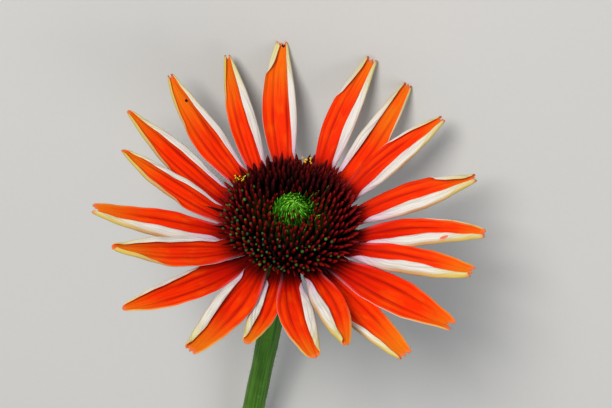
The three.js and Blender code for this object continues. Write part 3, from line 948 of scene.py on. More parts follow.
def petal_finish(look):
    """Vermilion face, paler to the tip, and a pale under side that shows where a margin rolls over."""
    f = Finish("Petal")
    along, reach, under, tone, blush = f.attributes("along", "reach", "under", "tone", "blush")
    run, side, fold, cover, stain, rolled_by = f.attributes(
        "along_mm", "across_mm", "fold_mm", "cover_mm", "ochre_mm", "rolled"
    )
    shift = tone * 41
    line = reach * 4
    veins = f.noise(f.spread(line * 1.9, run * 0.05, shift), 1.0, 3.0, 0.65)
    streaks = f.noise(f.spread(line * 0.8, run * 0.06, shift + 7), 1.0)
    patches = f.noise(f.spread(line * 0.4, run * 0.17, shift + 13), 1.0)
    fine = f.noise(f.spread(side, run, shift), 7.0)
    hairlines = f.noise(f.spread(side * 3.4, run * 0.07, shift + 3), 1.0)
    uneven = streaks - 0.5

    # Face: crimson by the cone, vermilion, then orange
    face = f.ramp(
        along + uneven * 0.4 + (0.5 - blush) * 0.4,
        (0.08, look.base_colour), (0.46, look.face_colour), (0.58, look.face_colour),
        (0.94, look.tip_colour),
    )
    patchy = patches.rise(0.5, 0.75) * (1 - blush * 0.7) * along.rise(0.15, 0.45)
    streaky = streaks.rise(0.5, 0.72) * along.rise(1.0, 0.5) * 0.75
    veined = veins.rise(0.5, 0.75) * 0.45 + hairlines.rise(0.55, 0.75) * 0.25

    # Painted highlights on the ridges and painted shade in the grooves that run along it,
    # painted shade in the valley by the fold, and a pale rim
    ridge_highlight = abs(abs(reach) - 0.7 + uneven * 0.2).rise(0.2, 0.02) * along.rise(0.25, 0.5)
    ridge_highlight = ridge_highlight * along.rise(1.0, 0.7) * (0.5 - 0.35 * blush)
    # Painted shade in the grooves, strongest towards the base
    off = abs(abs(reach) - GROOVE_AT + uneven * 0.12)
    groove_shade = (off.rise(0.2, 0.02) * 0.45 + off.rise(0.07, 0.01) * 0.55) * along.rise(0.98, 0.45)
    groove_shade = groove_shade * veins.rise(0.0, 0.45) * (0.5 + 0.5 * blush)
    # Painted shade on the face in the valley beside a rolled margin
    valley = (cover - FOLD_REACH).rise(-1.5, 0.1) * rolled_by.rise(0.7, 0.95)
    valley = valley * along.rise(0.1, 0.3) * along.rise(1.0, 0.8) * (0.3 + 0.4 * streaks)
    rim = (fold - along * 0.5).rise(-0.7, 0.2) * rolled_by.rise(0.9, 0.6)
    rim_colour = f.ramp(
        along, (0.0, look.rim_base_colour), (0.45, look.face_colour), (0.95, look.rim_tip_colour)
    )
    face = f.coats(
        face,
        (patchy, look.patch_and_ridge_highlight_colour), (streaky, look.base_colour), (veined, look.vein_and_groove_shade_colour),
        (ridge_highlight, look.patch_and_ridge_highlight_colour), (groove_shade, look.vein_and_groove_shade_colour), (valley, look.valley_shade_colour),
        (rim * 0.75, rim_colour), (along.rise(0.95, 0.99) * 0.6, look.tooth_colour),
    )

    # Under side: pale on the rolled margin, ochre round the fold's outer edge, duller below the face
    pale = f.ramp(
        along + uneven * 0.2,
        (0.14, look.flap_base_colour), (0.5, look.flap_colour), (0.64, look.flap_colour),
        (1.0, look.flap_tip_colour),
    )
    edge = fold - stain + uneven * 0.4 + (veins - 0.5) * 0.3
    stained = edge.rise(0.3, -0.25) * along.rise(0.18, 0.6) * 0.85
    pale = f.coats(
        pale,
        (veins.rise(0.45, 0.65) * 0.5, look.flap_vein_colour),
        (hairlines.rise(0.5, 0.7) * 0.65, look.flap_vein_colour),
        (stained, f.blend(along.rise(0.55, 0.95), look.ochre_colour, look.ochre_tip_colour)),
    )
    back = f.coats(
        look.under_base_colour,
        (along, look.under_tip_colour), (veins.rise(0.45, 0.7) * 0.6, look.under_vein_colour),
        (fold.rise(-1.1, -0.35), pale), (along.rise(0.965, 0.995) * 0.6, look.tooth_colour),
    )

    # The shade under the cone, and a dark or red mark on a few petals
    mark_along, mark_across, mark_mm, red = f.attributes(
        "mark_along", "mark_across", "mark_mm", "mark_red"
    )
    mark = ((run - mark_along) * (1 - 0.6 * red)).hypot(side - mark_across)
    spot = (mark + (fine - 0.5) * 0.25 - mark_mm).rise(0.1, -0.1)
    colour = f.coats(
        face,
        (under.rise(0.25, 0.75), back), (along.rise(0.28, 0.1) * 0.85, look.dusk_colour),
        (spot, f.blend(red, look.speck_colour, look.tooth_colour)),
    )
    normal = f.bump(veins * 0.55 + hairlines * 0.25 + fine * 0.2, 0.00025, 0.7)
    rough = 0.5 + 0.2 * veins + 0.1 * under
    return f.surface(colour, rough, normal, 0.04, 0.06, (1.0, 0.2, 0.05))


def spine_finish(look):
    """Painted shade, nearly black, at the spines' feet and between them; maroon up them, red at their
    tips.
    """
    f = Finish("Spine")
    along, tone, outer = f.attributes("along", "tone", "outer")
    grain = f.noise(f.place(), 900.0, 3.0)
    # Painted shade: nearly black up to about half way up each spine
    colour = f.ramp(
        along + (grain - 0.5) * 0.15 + (tone - 0.5) * 0.12 + outer.rise(0.45, 0.9) * 0.14,
        (0.0, look.shade_colour), (0.55, look.shade_colour), (0.76, look.shaft_colour),
        (0.9, look.spine_tip_colour), (1.0, look.spine_tip_colour),
    )
    green = outer.rise(0.34, 0.0) * along.rise(0.8, 0.3) * 0.8
    bright = tone.rise(0.7, 1.0) * 0.4 * along.rise(0.6, 0.9)
    colour = f.coats(colour, (green, look.bract_base_colour), (bright, look.spine_bright_colour))
    return f.surface(colour, 0.5 + 0.2 * grain, f.bump(grain, 0.00008, 0.5), 0.08)


def green_finish(name, stops, grain_scale, stretch, rough, vein_colour, shine=0.4, uneven=0.18):
    """A green that runs through its stops along each piece, with fine lengthwise grain."""
    f = Finish(name)
    along, tone, round_mm, along_mm = f.attributes("along", "tone", "round_mm", "along_mm")
    grain = f.noise(f.place(), grain_scale, 3.0, 0.6)
    lines = f.noise(f.spread(round_mm * 2.2, along_mm * stretch, tone * 9), 1.0)
    colour = f.ramp(along + (grain - 0.5) * 0.22 + (tone - 0.5) * uneven, *stops)
    colour = f.blend(lines.rise(0.5, 0.72) * 0.5, colour, vein_colour)
    normal = f.bump(grain * 0.5 + lines * 0.5, 0.0001, 0.6)
    return f.surface(colour, rough + 0.2 * grain, normal, shine, 0.08, (0.5, 1.0, 0.2))


def heart_finish(look):
    # Painted shade: darkest green low down among the bracts and on the dome between them
    stops = [(0.36, look.heart_dark_colour), (0.72, look.heart_colour), (1.0, look.heart_tip_colour)]
    return green_finish("Heart", stops, 1500.0, 0.2, 0.5, look.heart_colour, 0.06, 0.6)


def bract_finish(look):
    stops = [
        (0.0, look.stem_shade_colour), (0.3, look.stem_colour), (0.8, look.stem_colour),
        (1.0, look.stem_light_colour),
    ]
    return green_finish("Bract", stops, 1100.0, 0.15, 0.45, look.stem_light_colour)


def hair_finish(look):
    stops = [(0.0, look.stem_light_colour), (1.0, look.stem_light_colour)]
    return green_finish("Hair", stops, 900.0, 0.2, 0.5, look.flap_colour)


def bud_finish(look):
    f = Finish("Bud")
    tone, along = f.attributes("tone", "along")
    grain = f.noise(f.place(), 1400.0)
    colour = f.ramp(
        tone + (grain - 0.5) * 0.4,
        (0.0, look.bud_dark_colour), (0.5, look.bud_colour), (1.0, look.bud_light_colour),
    )
    # Painted shade on the end of each bud that sits down among the spines
    colour = f.blend(along.rise(0.4, 0.0) * 0.8, colour, look.shade_colour)
    return f.surface(colour, 0.5 + 0.2 * grain, f.bump(grain, 0.00008, 0.5), 0.35)


def pollen_finish(look):
    f = Finish("Pollen")
    grain = f.noise(f.place(), 2600.0)
    colour = f.blend(grain.rise(0.35, 0.65), look.pollen_colour, look.pollen_light_colour)
    return f.surface(colour, 0.7 + 0.2 * grain, f.bump(grain, 0.0001, 0.8), 0.2)


def stem_finish(look):
    """Ribbed green with fine pale streaks and a paler, spongy cut end."""
    f = Finish("Stem")
    run, around, pith = f.attributes("along_mm", "round_mm", "pith")
    place = f.place()
    grain = f.noise(place, 700.0, 4.0, 0.6)
    wide = f.noise(place, 60.0)
    lines = f.noise(f.spread(around * 2.4, run * 0.05), 1.0, 3.0)
    pores = f.cells(place, 2600.0)
    inside = f.blend(pores.rise(0.1, 0.5), look.stem_light_colour, look.pith_colour)
    colour = f.coats(
        look.stem_shade_colour,
        (lines.rise(0.35, 0.65), look.stem_colour),
        (wide.rise(0.45, 0.7) * 0.5, look.stem_light_colour),
        (grain.rise(0.6, 0.75) * 0.35, look.stem_light_colour),
        (pith.rise(0.1, 0.5), inside),
    )
    normal = f.bump(lines * 0.6 + grain * 0.4, 0.00012, 0.6)
    return f.surface(colour, 0.42 + 0.25 * grain, normal, 0.15, 0.06, (0.3, 1.0, 0.1))


def table_finish(look):
    """Pale matt card with a faint mottling."""
    f = Finish("Table")
    place = f.place()
    wide = f.noise(place, 9.0)
    fibres = f.noise(place, 700.0, 4.0, 0.7)
    colour = f.blend(wide * 0.5 + fibres * 0.3, look.table_colour, look.table_shade_colour)
    return f.surface(colour, 0.75 + 0.15 * fibres, f.bump(fibres, 0.00005, 0.25), 0.2)


# Sizes and colours that a user would change


def tint(name, note, value):
    return bpy.props.FloatVectorProperty(
        name=name, description=note, default=value, subtype="COLOR", size=3, min=0.0, max=1.0,
    )


def number_of(name, note, value, least, most):
    return bpy.props.IntProperty(name=name, description=note, default=value, min=least, max=most)


class ConeflowerLook(bpy.types.PropertyGroup):
    """Sizes and colours of the flower and its table."""

    dusk_colour: tint("Petal root", "Petals in the shade under the cone", (0.05, 0.0015, 0.001))
    base_colour: tint("Petal base", "Petal face by the cone", (0.58, 0.005, 0.0005))
    face_colour: tint("Petal face", "Petal face along its middle", (0.90, 0.028, 0.0003))
    tip_colour: tint("Petal tip", "Petal face at its tip", (0.76, 0.155, 0.004))
    # Painted shade on the face beside a rolled margin
    valley_shade_colour: tint("Fold valley", "Face beside the rolled margin", (0.34, 0.03, 0.001))
    # Orange patches, and also the painted highlight on the petals' ridges
    patch_and_ridge_highlight_colour: tint("Petal patches", "Orange patches on the face", (0.96, 0.095, 0.001))
    # The veins' own darker red, and also the painted shade in the petals' grooves
    vein_and_groove_shade_colour: tint("Petal grooves", "Grooves and veins of the face", (0.36, 0.006, 0.002))
    rim_base_colour: tint("Rim by the cone", "Petal rim near the cone", (0.72, 0.20, 0.26))
    rim_tip_colour: tint("Rim by the tip", "Petal rim near the tip", (0.82, 0.50, 0.10))
    tooth_colour: tint("Teeth", "Teeth at a petal's tip", (0.75, 0.17, 0.07))
    flap_base_colour: tint("Fold by the cone", "Rolled margin near the cone", (0.70, 0.41, 0.62))
    flap_colour: tint("Fold", "Rolled margin along its middle", (0.74, 0.70, 0.64))
    flap_tip_colour: tint("Fold by the tip", "Rolled margin near the tip", (0.66, 0.60, 0.22))
    flap_vein_colour: tint("Fold veins", "Veins of the rolled margin", (0.42, 0.35, 0.30))
    ochre_colour: tint("Fold edge", "Outer edge of the fold", (0.48, 0.21, 0.035))
    ochre_tip_colour: tint("Fold edge tip", "Outer edge of the fold by the tip", (0.60, 0.42, 0.07))
    under_base_colour: tint("Under side by the cone", "Under side by the cone", (0.52, 0.18, 0.15))
    under_tip_colour: tint("Under side by the tip", "Under side near the tip", (0.74, 0.42, 0.15))
    under_vein_colour: tint("Under side veins", "Veins of the under side", (0.40, 0.09, 0.04))
    speck_colour: tint("Specks", "Dark specks on the petals", (0.02, 0.008, 0.004))
    shade_colour: tint("Between spines", "Cone between the spines", (0.005, 0.0012, 0.001))
    shaft_colour: tint("Spines", "Spines along their middle", (0.055, 0.0012, 0.0014))
    spine_tip_colour: tint("Spine tips", "Tips of the spines", (0.205, 0.004, 0.0045))
    spine_bright_colour: tint("Bright spines", "The brightest spines", (0.28, 0.007, 0.005))
    bract_base_colour: tint("Spine feet", "Feet of the inner spines", (0.03, 0.08, 0.006))
    bud_dark_colour: tint("Dark buds", "Darkest floret buds", (0.008, 0.03, 0.003))
    bud_colour: tint("Buds", "Floret buds", (0.024, 0.08, 0.006))
    bud_light_colour: tint("Light buds", "Lightest floret buds", (0.06, 0.15, 0.012))
    pollen_colour: tint("Pollen", "Pollen grains", (0.92, 0.42, 0.004))
    pollen_light_colour: tint("Light pollen", "Lighter pollen", (0.98, 0.66, 0.01))
    # Painted shade low down in the heart, between its bracts
    heart_dark_colour: tint("Heart base", "Green bracts low down", (0.008, 0.035, 0.002))
    heart_colour: tint("Heart", "Green bracts of the heart", (0.05, 0.25, 0.005))
    heart_tip_colour: tint("Heart tips", "Tips of the green bracts", (0.24, 0.62, 0.05))
    stem_colour: tint("Stem", "Stem and bracts", (0.06, 0.175, 0.012))
    stem_shade_colour: tint("Stem shade", "Darker green of the stem", (0.022, 0.08, 0.005))
    stem_light_colour: tint("Stem light", "Lighter green of the stem", (0.14, 0.29, 0.04))
    pith_colour: tint("Pith", "Inside of the stem at its cut end", (0.66, 0.70, 0.42))
    table_colour: tint("Table", "Table top", (0.56, 0.55, 0.53))
    table_shade_colour: tint("Table mottling", "Faint mottling of the table", (0.49, 0.48, 0.46))
    bud_count: number_of("Buds", "Floret buds between the spines", 230, 0, 600)
    heart_count: number_of("Heart bracts", "Fine green bracts in the heart", 190, 20, 400)
    hair_count: number_of("Stem hairs", "Short stiff hairs on the stem", 900, 0, 4000)
    hair_length: bpy.props.FloatProperty(
        name="Hair length", description="Length of a stem hair", default=0.0008, min=0.0, max=0.003,
        subtype="DISTANCE", unit="LENGTH",
    )
    lamp_power: bpy.props.FloatProperty(
        name="Lamp", description="Power of the main lamp", default=10.5, min=0.0, max=200.0,
        subtype="POWER", unit="POWER",
    )


# Operators


class CONEFLOWER_OT_petals(bpy.types.Operator):
    """Builds the twenty ray petals."""

    bl_idname = "coneflower.petals"
    bl_label = "Petals"

    def execute(self, context):
        finish = petal_finish(context.scene.coneflower)
        for number, row in enumerate(PETALS, 1):
            petal = dict(zip(PETAL_KEYS, row))
            top, under, values = petal_sheet(petal, number)
            rows, columns = top.shape[:2]
            points = np.concatenate([
                above_table(to_world(top.reshape(-1, 3)), PETAL_ABOVE_TABLE),
                above_table(to_world(under.reshape(-1, 3))),
            ])
            _, place, across, radius, red = next((m for m in MARKS if m[0] == number), NO_MARK)
            build = Build()
            build.add(
                points, sheet_faces(rows, columns),
                **{key: np.tile(value.ravel(), 2) for key, value in values.items()},
                under=np.repeat([0.0, 1.0], rows * columns), tone=next(seeded(500 + 17 * number)),
                blush=petal["blush"], mark_along=place * petal["length"], mark_across=across,
                mark_mm=radius, mark_red=red,
            )
            build.piece(f"fine_petal_{number:02d}", finish, "petal", f"petal_{number:02d}")
        return {"FINISHED"}


class CONEFLOWER_OT_cone(bpy.types.Operator):
    """Builds the cone: its dark body and its spines."""

    bl_idname = "coneflower.cone"
    bl_label = "Cone"

    def execute(self, context):
        build = Build()
        points, faces = turned(CONE_PROFILE, TURNED_SIDES)
        # The cone's body is painted in the nearly black shade of the spines' feet
        build.add(to_world(points), faces, along=0.0, tone=0.3, outer=1.0)
        random = seeded(31)
        up = up_horn(SPINE_SHARES, SPINE_SIDES)
        self.dome(build, random, up)
        self.inner(build, random, up)
        self.front(build, up)
        build.piece("fine_cone", spine_finish(context.scene.coneflower), "cone", "cone")
        return {"FINISHED"}

    def dome(self, build, random, up):
        """The spines of the dome: ragged at the crown and round the rim, and duller on the far side."""
        for k, tip, lean, root, turn in spine_tips():
            draws = draw(random, 5)
            outer = k / SPINE_COUNT
            rim = eased(outer, *RIM)
            far = eased(cosine(k * GOLDEN_ANGLE), *FAR_SIDE)
            crown = far * float(ease(CROWN_FULL - abs(outer - CROWN_AT) / CROWN_WIDTH))
            sway = np.array([draws[0] - 0.5, draws[1] - 0.5, 0]) * SPINE_SWAY
            longer = (
                RIM_RAGGED * rim * (1 - far) * draws[1] ** 3 + CROWN_RAGGED * crown * draws[1]
                - FAR_RIM_SHORT * rim * far
            )
            uneven = (draws[4] - 0.4) * mix(*SPINE_UNEVEN, rim)
            tip = tip + lean * (uneven + longer) + sway * rim
            path = [mix(root, tip, t) + sway * math.sin(math.pi * t) for t in SPINE_SHARES]
            thinner = rim * (1 - far)
            stout = mix(*SPINE_STOUTNESS, draws[2])
            radii = [
                mix(full, thin, thinner) * stout * (1 + FAR_STOUTER * far)
                for full, thin in zip(SPINE_RADII, RIM_SPINE_RADII)
            ]
            # Painted shade: the lowest, outermost spines are darker
            dim = 1 - LOWEST_DIM * eased(outer, *LOWEST_SPINES)
            far_tone = mix(*FAR_TONES, min(1, outer / FAR_TONES_REACH)) + FAR_TONE_RISE * up
            build.horn(
                path, radii, SPINE_SIDES, turn, along=mix(up * dim, far_tone, far), tone=draws[3],
                outer=max(outer, FAR_AS_OUTER * far),
            )

    def inner(self, build, random, up):
        """Shorter spines with green feet, right round the heart."""
        for k in range(INNER_SPINES):
            draws = draw(random, 6)
            clock = 360 * (k + INNER_SHIFT * draws[0]) / INNER_SPINES
            out, round_ = compass(clock)
            twist = round_ * INNER_TWIST * (draws[2] - 0.5)
            lean = unit(out * mix(*INNER_LEAN, draws[1]) + twist + UP)
            near, far = max(0.0, -cosine(clock)), max(0.0, cosine(clock))
            height = mix(*INNER_HEIGHTS, draws[4]) - INNER_NEAR_LOWER * near
            tip = out * mix(*INNER_RADII, draws[3]) + UP * height
            root = tip - lean * INNER_LENGTH
            # Painted shade: the inner spines on the far side are darker
            build.horn(
                [mix(root, tip, t) for t in SPINE_SHARES], SPINE_RADII, SPINE_SIDES, draws[5],
                along=up * (1 - INNER_FAR_DIM * far), tone=draws[5], outer=INNER_FAR_AS_OUTER * far,
            )

    def front(self, build, up):
        """A few spines that stand over the heart's near side."""
        for k, (clock, radius, height) in enumerate(FRONT_SPINES):
            out, _ = compass(clock)
            tip = out * radius + UP * height
            lean = unit(UP - out * FRONT_LEAN)
            path = [tip - lean * FRONT_LENGTH * (1 - t) for t in SPINE_SHARES]
            build.horn(path, SPINE_RADII, SPINE_SIDES, k, along=up * FRONT_DIM, tone=0.2, outer=0.0)


class CONEFLOWER_OT_florets(bpy.types.Operator):
    """Builds the round buds, slender green tips and pollen among the spines."""

    bl_idname = "coneflower.florets"
    bl_label = "Florets"

    def execute(self, context):
        look = context.scene.coneflower
        random = seeded(47)
        self.buds(look, random)
        self.pollen(look, random)
        self.green_tips(look, random)
        return {"FINISHED"}

    def buds(self, look, random):
        """Round buds, each in the middle of three spines next to one another."""
        spines = {k: (tip, lean) for k, tip, lean, _root, _turn in spine_tips()}
        build = Build()
        step = (SPINE_COUNT - BUDS_FROM - BUD_NEIGHBOURS[-1] - 2) / max(1, look.bud_count)
        for n in range(look.bud_count):
            k = int(BUDS_FROM + n * step)
            draws = draw(random, 6)
            if draws[5] > BUD_SPARSE + BUD_THICK * cosine(k * GOLDEN_ANGLE - BUD_SIDE):
                continue
            round_it = [spines[k], *(spines[k + further] for further in BUD_NEIGHBOURS)]
            way = unit(sum(lean for _tip, lean in round_it))
            place = sum(tip for tip, _lean in round_it) / 3 - way * mix(*BUD_SUNK, draws[0])
            place = place + np.array([draws[1] - 0.5, draws[2] - 0.5, 0]) * BUD_STRAY
            radius = mix(*BUD_RADII, draws[3])
            points, faces = ball(place, radius, *BUD_SIDES_AND_ROWS, BUD_STRETCH, way)
            along = np.clip(((points - place) @ way) / radius * 0.5 + 0.5, 0, 1)
            build.add(to_world(points), faces, along=along, tone=draws[4])
        if look.bud_count:
            build.piece("buds", bud_finish(look), "cone")

    def pollen(self, look, random):
        """Loose grains of pollen on the spines' tips."""
        build = Build()
        for x, y, height, radius in POLLEN:
            for _ in range(POLLEN_GRAINS):
                stray = np.array([share - 0.5 for share in draw(random, 3)]) * POLLEN_SPREAD
                place = over_pixel(x, y, height) + stray
                points, faces = ball(place, radius, *GRAIN_SIDES_AND_ROWS)
                build.add(to_world(points), faces)
        build.piece("pollen", pollen_finish(look), "cone")

    def green_tips(self, look, random):
        """Slender green tips of young florets."""
        build = Build()
        for x, y, height, size in GREEN_TIPS:
            draws = draw(random, 3)
            place = over_pixel(x, y, height)
            out = unit([place[0], place[1], 0])
            lean = unit(out * GREEN_TIP_LEAN + UP)
            length = GREEN_TIP_LENGTH * size
            path = [
                place - (lean * (1 - t) + out * GREEN_TIP_BEND * (1 - t) ** 2) * length
                for t in GREEN_TIP_SHARES
            ]
            points, faces = tapered(path, [r * size for r in GREEN_TIP_RADII], 5, draws[0])
            along = np.clip((points - path[0]) @ lean / length, 0, 1)
            build.add(
                to_world(points), faces, along=along, tone=draws[1], round_mm=draws[2],
                along_mm=along * length,
            )
        build.piece("green_tips", heart_finish(look), "heart")


class CONEFLOWER_OT_heart(bpy.types.Operator):
    """Builds the green heart: fine bracts that curve in over one another."""

    bl_idname = "coneflower.heart"
    bl_label = "Heart"

    def execute(self, context):
        look = context.scene.coneflower
        build = Build()
        top = HEART_HEIGHT - HEART_DOME_DROP
        dome = [
            (
                (HEART_REACH - HEART_DOME_INSET) * math.cos(a) ** HEART_CURVE,
                HEART_ROOT + top * math.sin(a),
            )
            for a in np.radians(HEART_DOME_ANGLES)
        ]
        crown = (0.0, HEART_ROOT + HEART_HEIGHT - HEART_DOME_DROP)
        dome = [(0.0, HEART_ROOT - HEART_DOME_SUNK), *dome, crown]
        points, faces = turned(dome, HEART_DOME_SIDES)
        # The dome takes the darkest green: painted shade between the bracts
        build.add(
            to_world(points), faces, along=0.0, tone=0.3, round_mm=points[:, 0],
            along_mm=points[:, 1],
        )
        up = up_horn(HEART_SHARES, HEART_SIDES)
        around = np.tile(np.arange(HEART_SIDES) * HEART_SIDE_STEP, len(HEART_RADII))
        around = np.append(around, [0.0, 0.0])
        random = seeded(59)
        for k in range(look.heart_count):
            draws = draw(random, 5)
            outward = math.sqrt((k + 0.5) / look.heart_count)
            start = mix(*HEART_STARTS, outward) + HEART_START_UNEVEN * (draws[0] - 0.5)
            length = mix(*HEART_LENGTHS, outward) * mix(*HEART_UNEVEN, draws[1])
            off = mix(*HEART_OFF_UNEVEN, draws[2])
            build.horn(
                self.bract_path(k * GOLDEN_ANGLE, math.radians(start), length, off),
                HEART_RADII, HEART_SIDES, draws[3] * 3, tone=draws[4], along_mm=up * length,
                along=up * mix(1.0, HEART_EDGE_DIM, outward ** 2), round_mm=around,
            )
        for k in range(HEART_SPIKES + NEAR_SPIKES):
            draws = draw(random, 5)
            near = k >= HEART_SPIKES
            clock = 360 * (k + SPIKE_SHIFT * draws[0]) / HEART_SPIKES
            if near:
                clock = mix(*NEAR_CLOCKS, draws[0])
            out, round_ = compass(clock)
            foot = out * mix(*(NEAR_SPIKE_FEET if near else SPIKE_FEET), draws[1])
            foot = foot + UP * (HEART_ROOT - SPIKE_SUNK)
            twist = round_ * SPIKE_TWIST * (draws[3] - 0.5)
            way = unit(out * mix(*SPIKE_LEAN, draws[2]) + twist + UP)
            height = mix(*SPIKE_LENGTHS, draws[4]) - SPIKE_FAR_SHORT * max(0.0, cosine(clock))
            build.horn(
                [foot + way * height * t for t in HEART_SHARES], SPIKE_RADII, HEART_SIDES, draws[0],
                tone=draws[2], along_mm=up * height, along=up * SPIKE_DIM, round_mm=around,
            )
        build.piece("fine_heart", heart_finish(look), "heart", "cone_heart")
        return {"FINISHED"}

    def bract_path(self, clock, start, length, off):
        """The path of one fine bract, which rises over the dome, swirls round it and bends off it."""
        path = []
        for t in HEART_SHARES:
            rise = start + length * t / HEART_REACH
            apart = HEART_CLEAR + HEART_OFF * t ** 2 * off
            swirl = HEART_SWIRL * t * length / (math.cos(start) + HEART_SWIRL_SOFTENER)
            out, _ = compass(clock + swirl)
            across = 0.0
            if rise < math.pi / 2:
                across = (HEART_REACH - HEART_INSET) * math.cos(rise) ** HEART_CURVE
            height = HEART_ROOT + HEART_HEIGHT * math.sin(rise) + apart * math.sin(rise)
            path.append(out * (across + apart * math.cos(rise)) + UP * height)
        return path


class CONEFLOWER_OT_stem(bpy.types.Operator):
    """Builds the stem with its ribs, stiff hairs and cut end, and the cup with its green bracts."""

    bl_idname = "coneflower.stem"
    bl_label = "Stem"

    def execute(self, context):
        look = context.scene.coneflower
        build = Build()
        line, ways, runs = stem_line(STEM_ROWS)
        angles = 2 * math.pi * np.arange(STEM_SIDES) / STEM_SIDES
        rings, frames = [], []
        for place, way, run in zip(line, ways, runs):
            side = unit(np.cross(UP, way))
            rise = np.cross(way, side)
            share = run / STEM_LENGTH
            radius = mix(STEM_RADIUS, STEM_END_RADIUS, share)
            twist = STEM_TWIST * share
            ribs = sum(
                depth * np.cos(count * (angles + turns * twist) + shift)
                for depth, count, turns, shift in RIBS
            )
            lumps = SIDE_LUMPS[0] * np.sin(run * SIDE_LUMPS[1] + 2 * np.sin(angles))
            lumps = lumps + RING_LUMPS[0] * np.sin(run * RING_LUMPS[1] + 1.0)
            reach = radius * (1 - STEM_SLACK) + ribs + lumps
            ring = np.outer(reach * np.cos(angles), side) + np.outer(reach * np.sin(angles), rise)
            rings.append(place + ring)
            frames.append((place, way, side, rise, radius))
        rim = rings[-1]
        centre = rim.mean(axis=0)
        cut = [centre + (rim - centre) * share + ways[-1] * lift for share, lift, _ in STEM_CUT]
        points, faces = tube(rings + cut)
        shown = [0.0] * len(rings) + [pith for _, _, pith in STEM_CUT]
        along_mm = np.append(runs, [STEM_LENGTH] * len(cut))
        along_mm = np.append(np.repeat(along_mm, STEM_SIDES), [0, STEM_LENGTH])
        around = np.append(np.tile(angles * STEM_RADIUS, len(rings) + len(cut)), [0, 0])
        build.add(
            above_table(points * MM), faces, along_mm=along_mm, round_mm=around,
            pith=np.append(np.repeat(shown, STEM_SIDES), [0.0, 1.0]),
        )
        build.piece("fine_stem", stem_finish(look), "stem", "stem")
        self.hairs(look, frames)
        self.cup(look)
        return {"FINISHED"}

    def hairs(self, look, frames):
        """Short stiff hairs all round the stem."""
        random = seeded(71)
        build = Build()
        for _ in range(look.hair_count):
            draws = draw(random, 6)
            k = int(draws[0] * (len(frames) - 2))
            place, way, side, rise, radius = frames[k]
            place = mix(place, frames[k + 1][0], draws[1])
            angle = 2 * math.pi * draws[2]
            out = side * math.cos(angle) + rise * math.sin(angle)
            lean = unit(out + way * mix(*HAIR_LEAN, draws[3]))
            reach = look.hair_length / MM * mix(*HAIR_LENGTHS, draws[4])
            foot = place + out * (radius - HAIR_SUNK)
            tip = foot + lean * reach + way * (HAIR_DROOP * reach)
            points, faces = tapered([foot, mix(foot, tip, 0.5), tip], HAIR_RADII, 3, draws[5] * 2)
            if points[:, 2].min() > HAIR_ABOVE_TABLE:
                build.add(points * MM, faces, along=0.8, tone=draws[5], round_mm=0.0, along_mm=0.0)
        if look.hair_count:
            build.piece("stem_hairs", hair_finish(look), "stem")

    def cup(self, look):
        """The cup below the petals, and its rows of lance-shaped bracts."""
        build = Build()
        points, faces = turned(CUP_PROFILE, TURNED_SIDES)
        # Painted shade: the cup is a darker green, between the bracts
        build.add(
            above_table(to_world(points)), faces, along=0.14, tone=0.4,
            round_mm=np.arctan2(points[:, 1], points[:, 0]) * 6, along_mm=points[:, 2],
        )
        random = seeded(83)
        for index, row in enumerate(BRACT_ROWS + SMALL_BRACT_ROWS):
            for j in range(row["count"]):
                draws = draw(random, 6)
                clock = (j + 0.5 * (index % 2)) * 360 / row["count"] + BRACT_ASKEW * (draws[0] - 0.5)
                points, faces, along, across = self.bract(clock, row, draws)
                build.add(
                    above_table(to_world(points)), faces, along=along, tone=draws[5],
                    round_mm=across, along_mm=along * row["length"],
                )
        build.piece("cup_and_bracts", bract_finish(look), "stem")

    def bract(self, clock, row, draws):
        """A lance-shaped bract with a keel under it and fine edges, bending down as it goes out."""
        out, round_ = compass(clock)
        place = out * (row["radius"] - BRACT_SUNK) + UP * row["height"]
        reach = row["length"] * mix(*BRACT_LENGTHS, draws[1])
        rings, alongs, sides = [], [], []
        last = BRACT_RINGS - 1
        for k in range(BRACT_RINGS):
            t = k / last
            uneven = BRACT_DIP_UNEVEN * (draws[2] - 0.5) * t
            dip = math.radians(row["dip"] + row["curl"] * t + uneven)
            along = out * math.cos(dip) - UP * math.sin(dip)
            above = np.cross(round_, along) * -1
            if above[2] < 0:
                above = -above
            half = row["width"] / 2 * float(np.interp(t, *BRACT_SHARES))
            sway = BRACT_SWAY * (draws[3] - 0.5) * t * t
            corners = [(half * share + step, over) for share, step, over in BRACT_SECTION]
            thin = 1 - BRACT_THINS * t
            rings.append(np.array([
                place + round_ * (side + sway) + above * (over * thin) for side, over in corners
            ]))
            alongs += [t] * len(corners)
            sides += [side for side, _ in corners]
            place = place + along * reach / last
        points, faces = tube(rings[:-1], end=rings[-1].mean(axis=0))
        count = len(points) - 2
        along, across = np.array(alongs[:count] + [0.0, 1.0]), np.array(sides[:count] + [0.0, 0.0])
        return points, faces, along, across


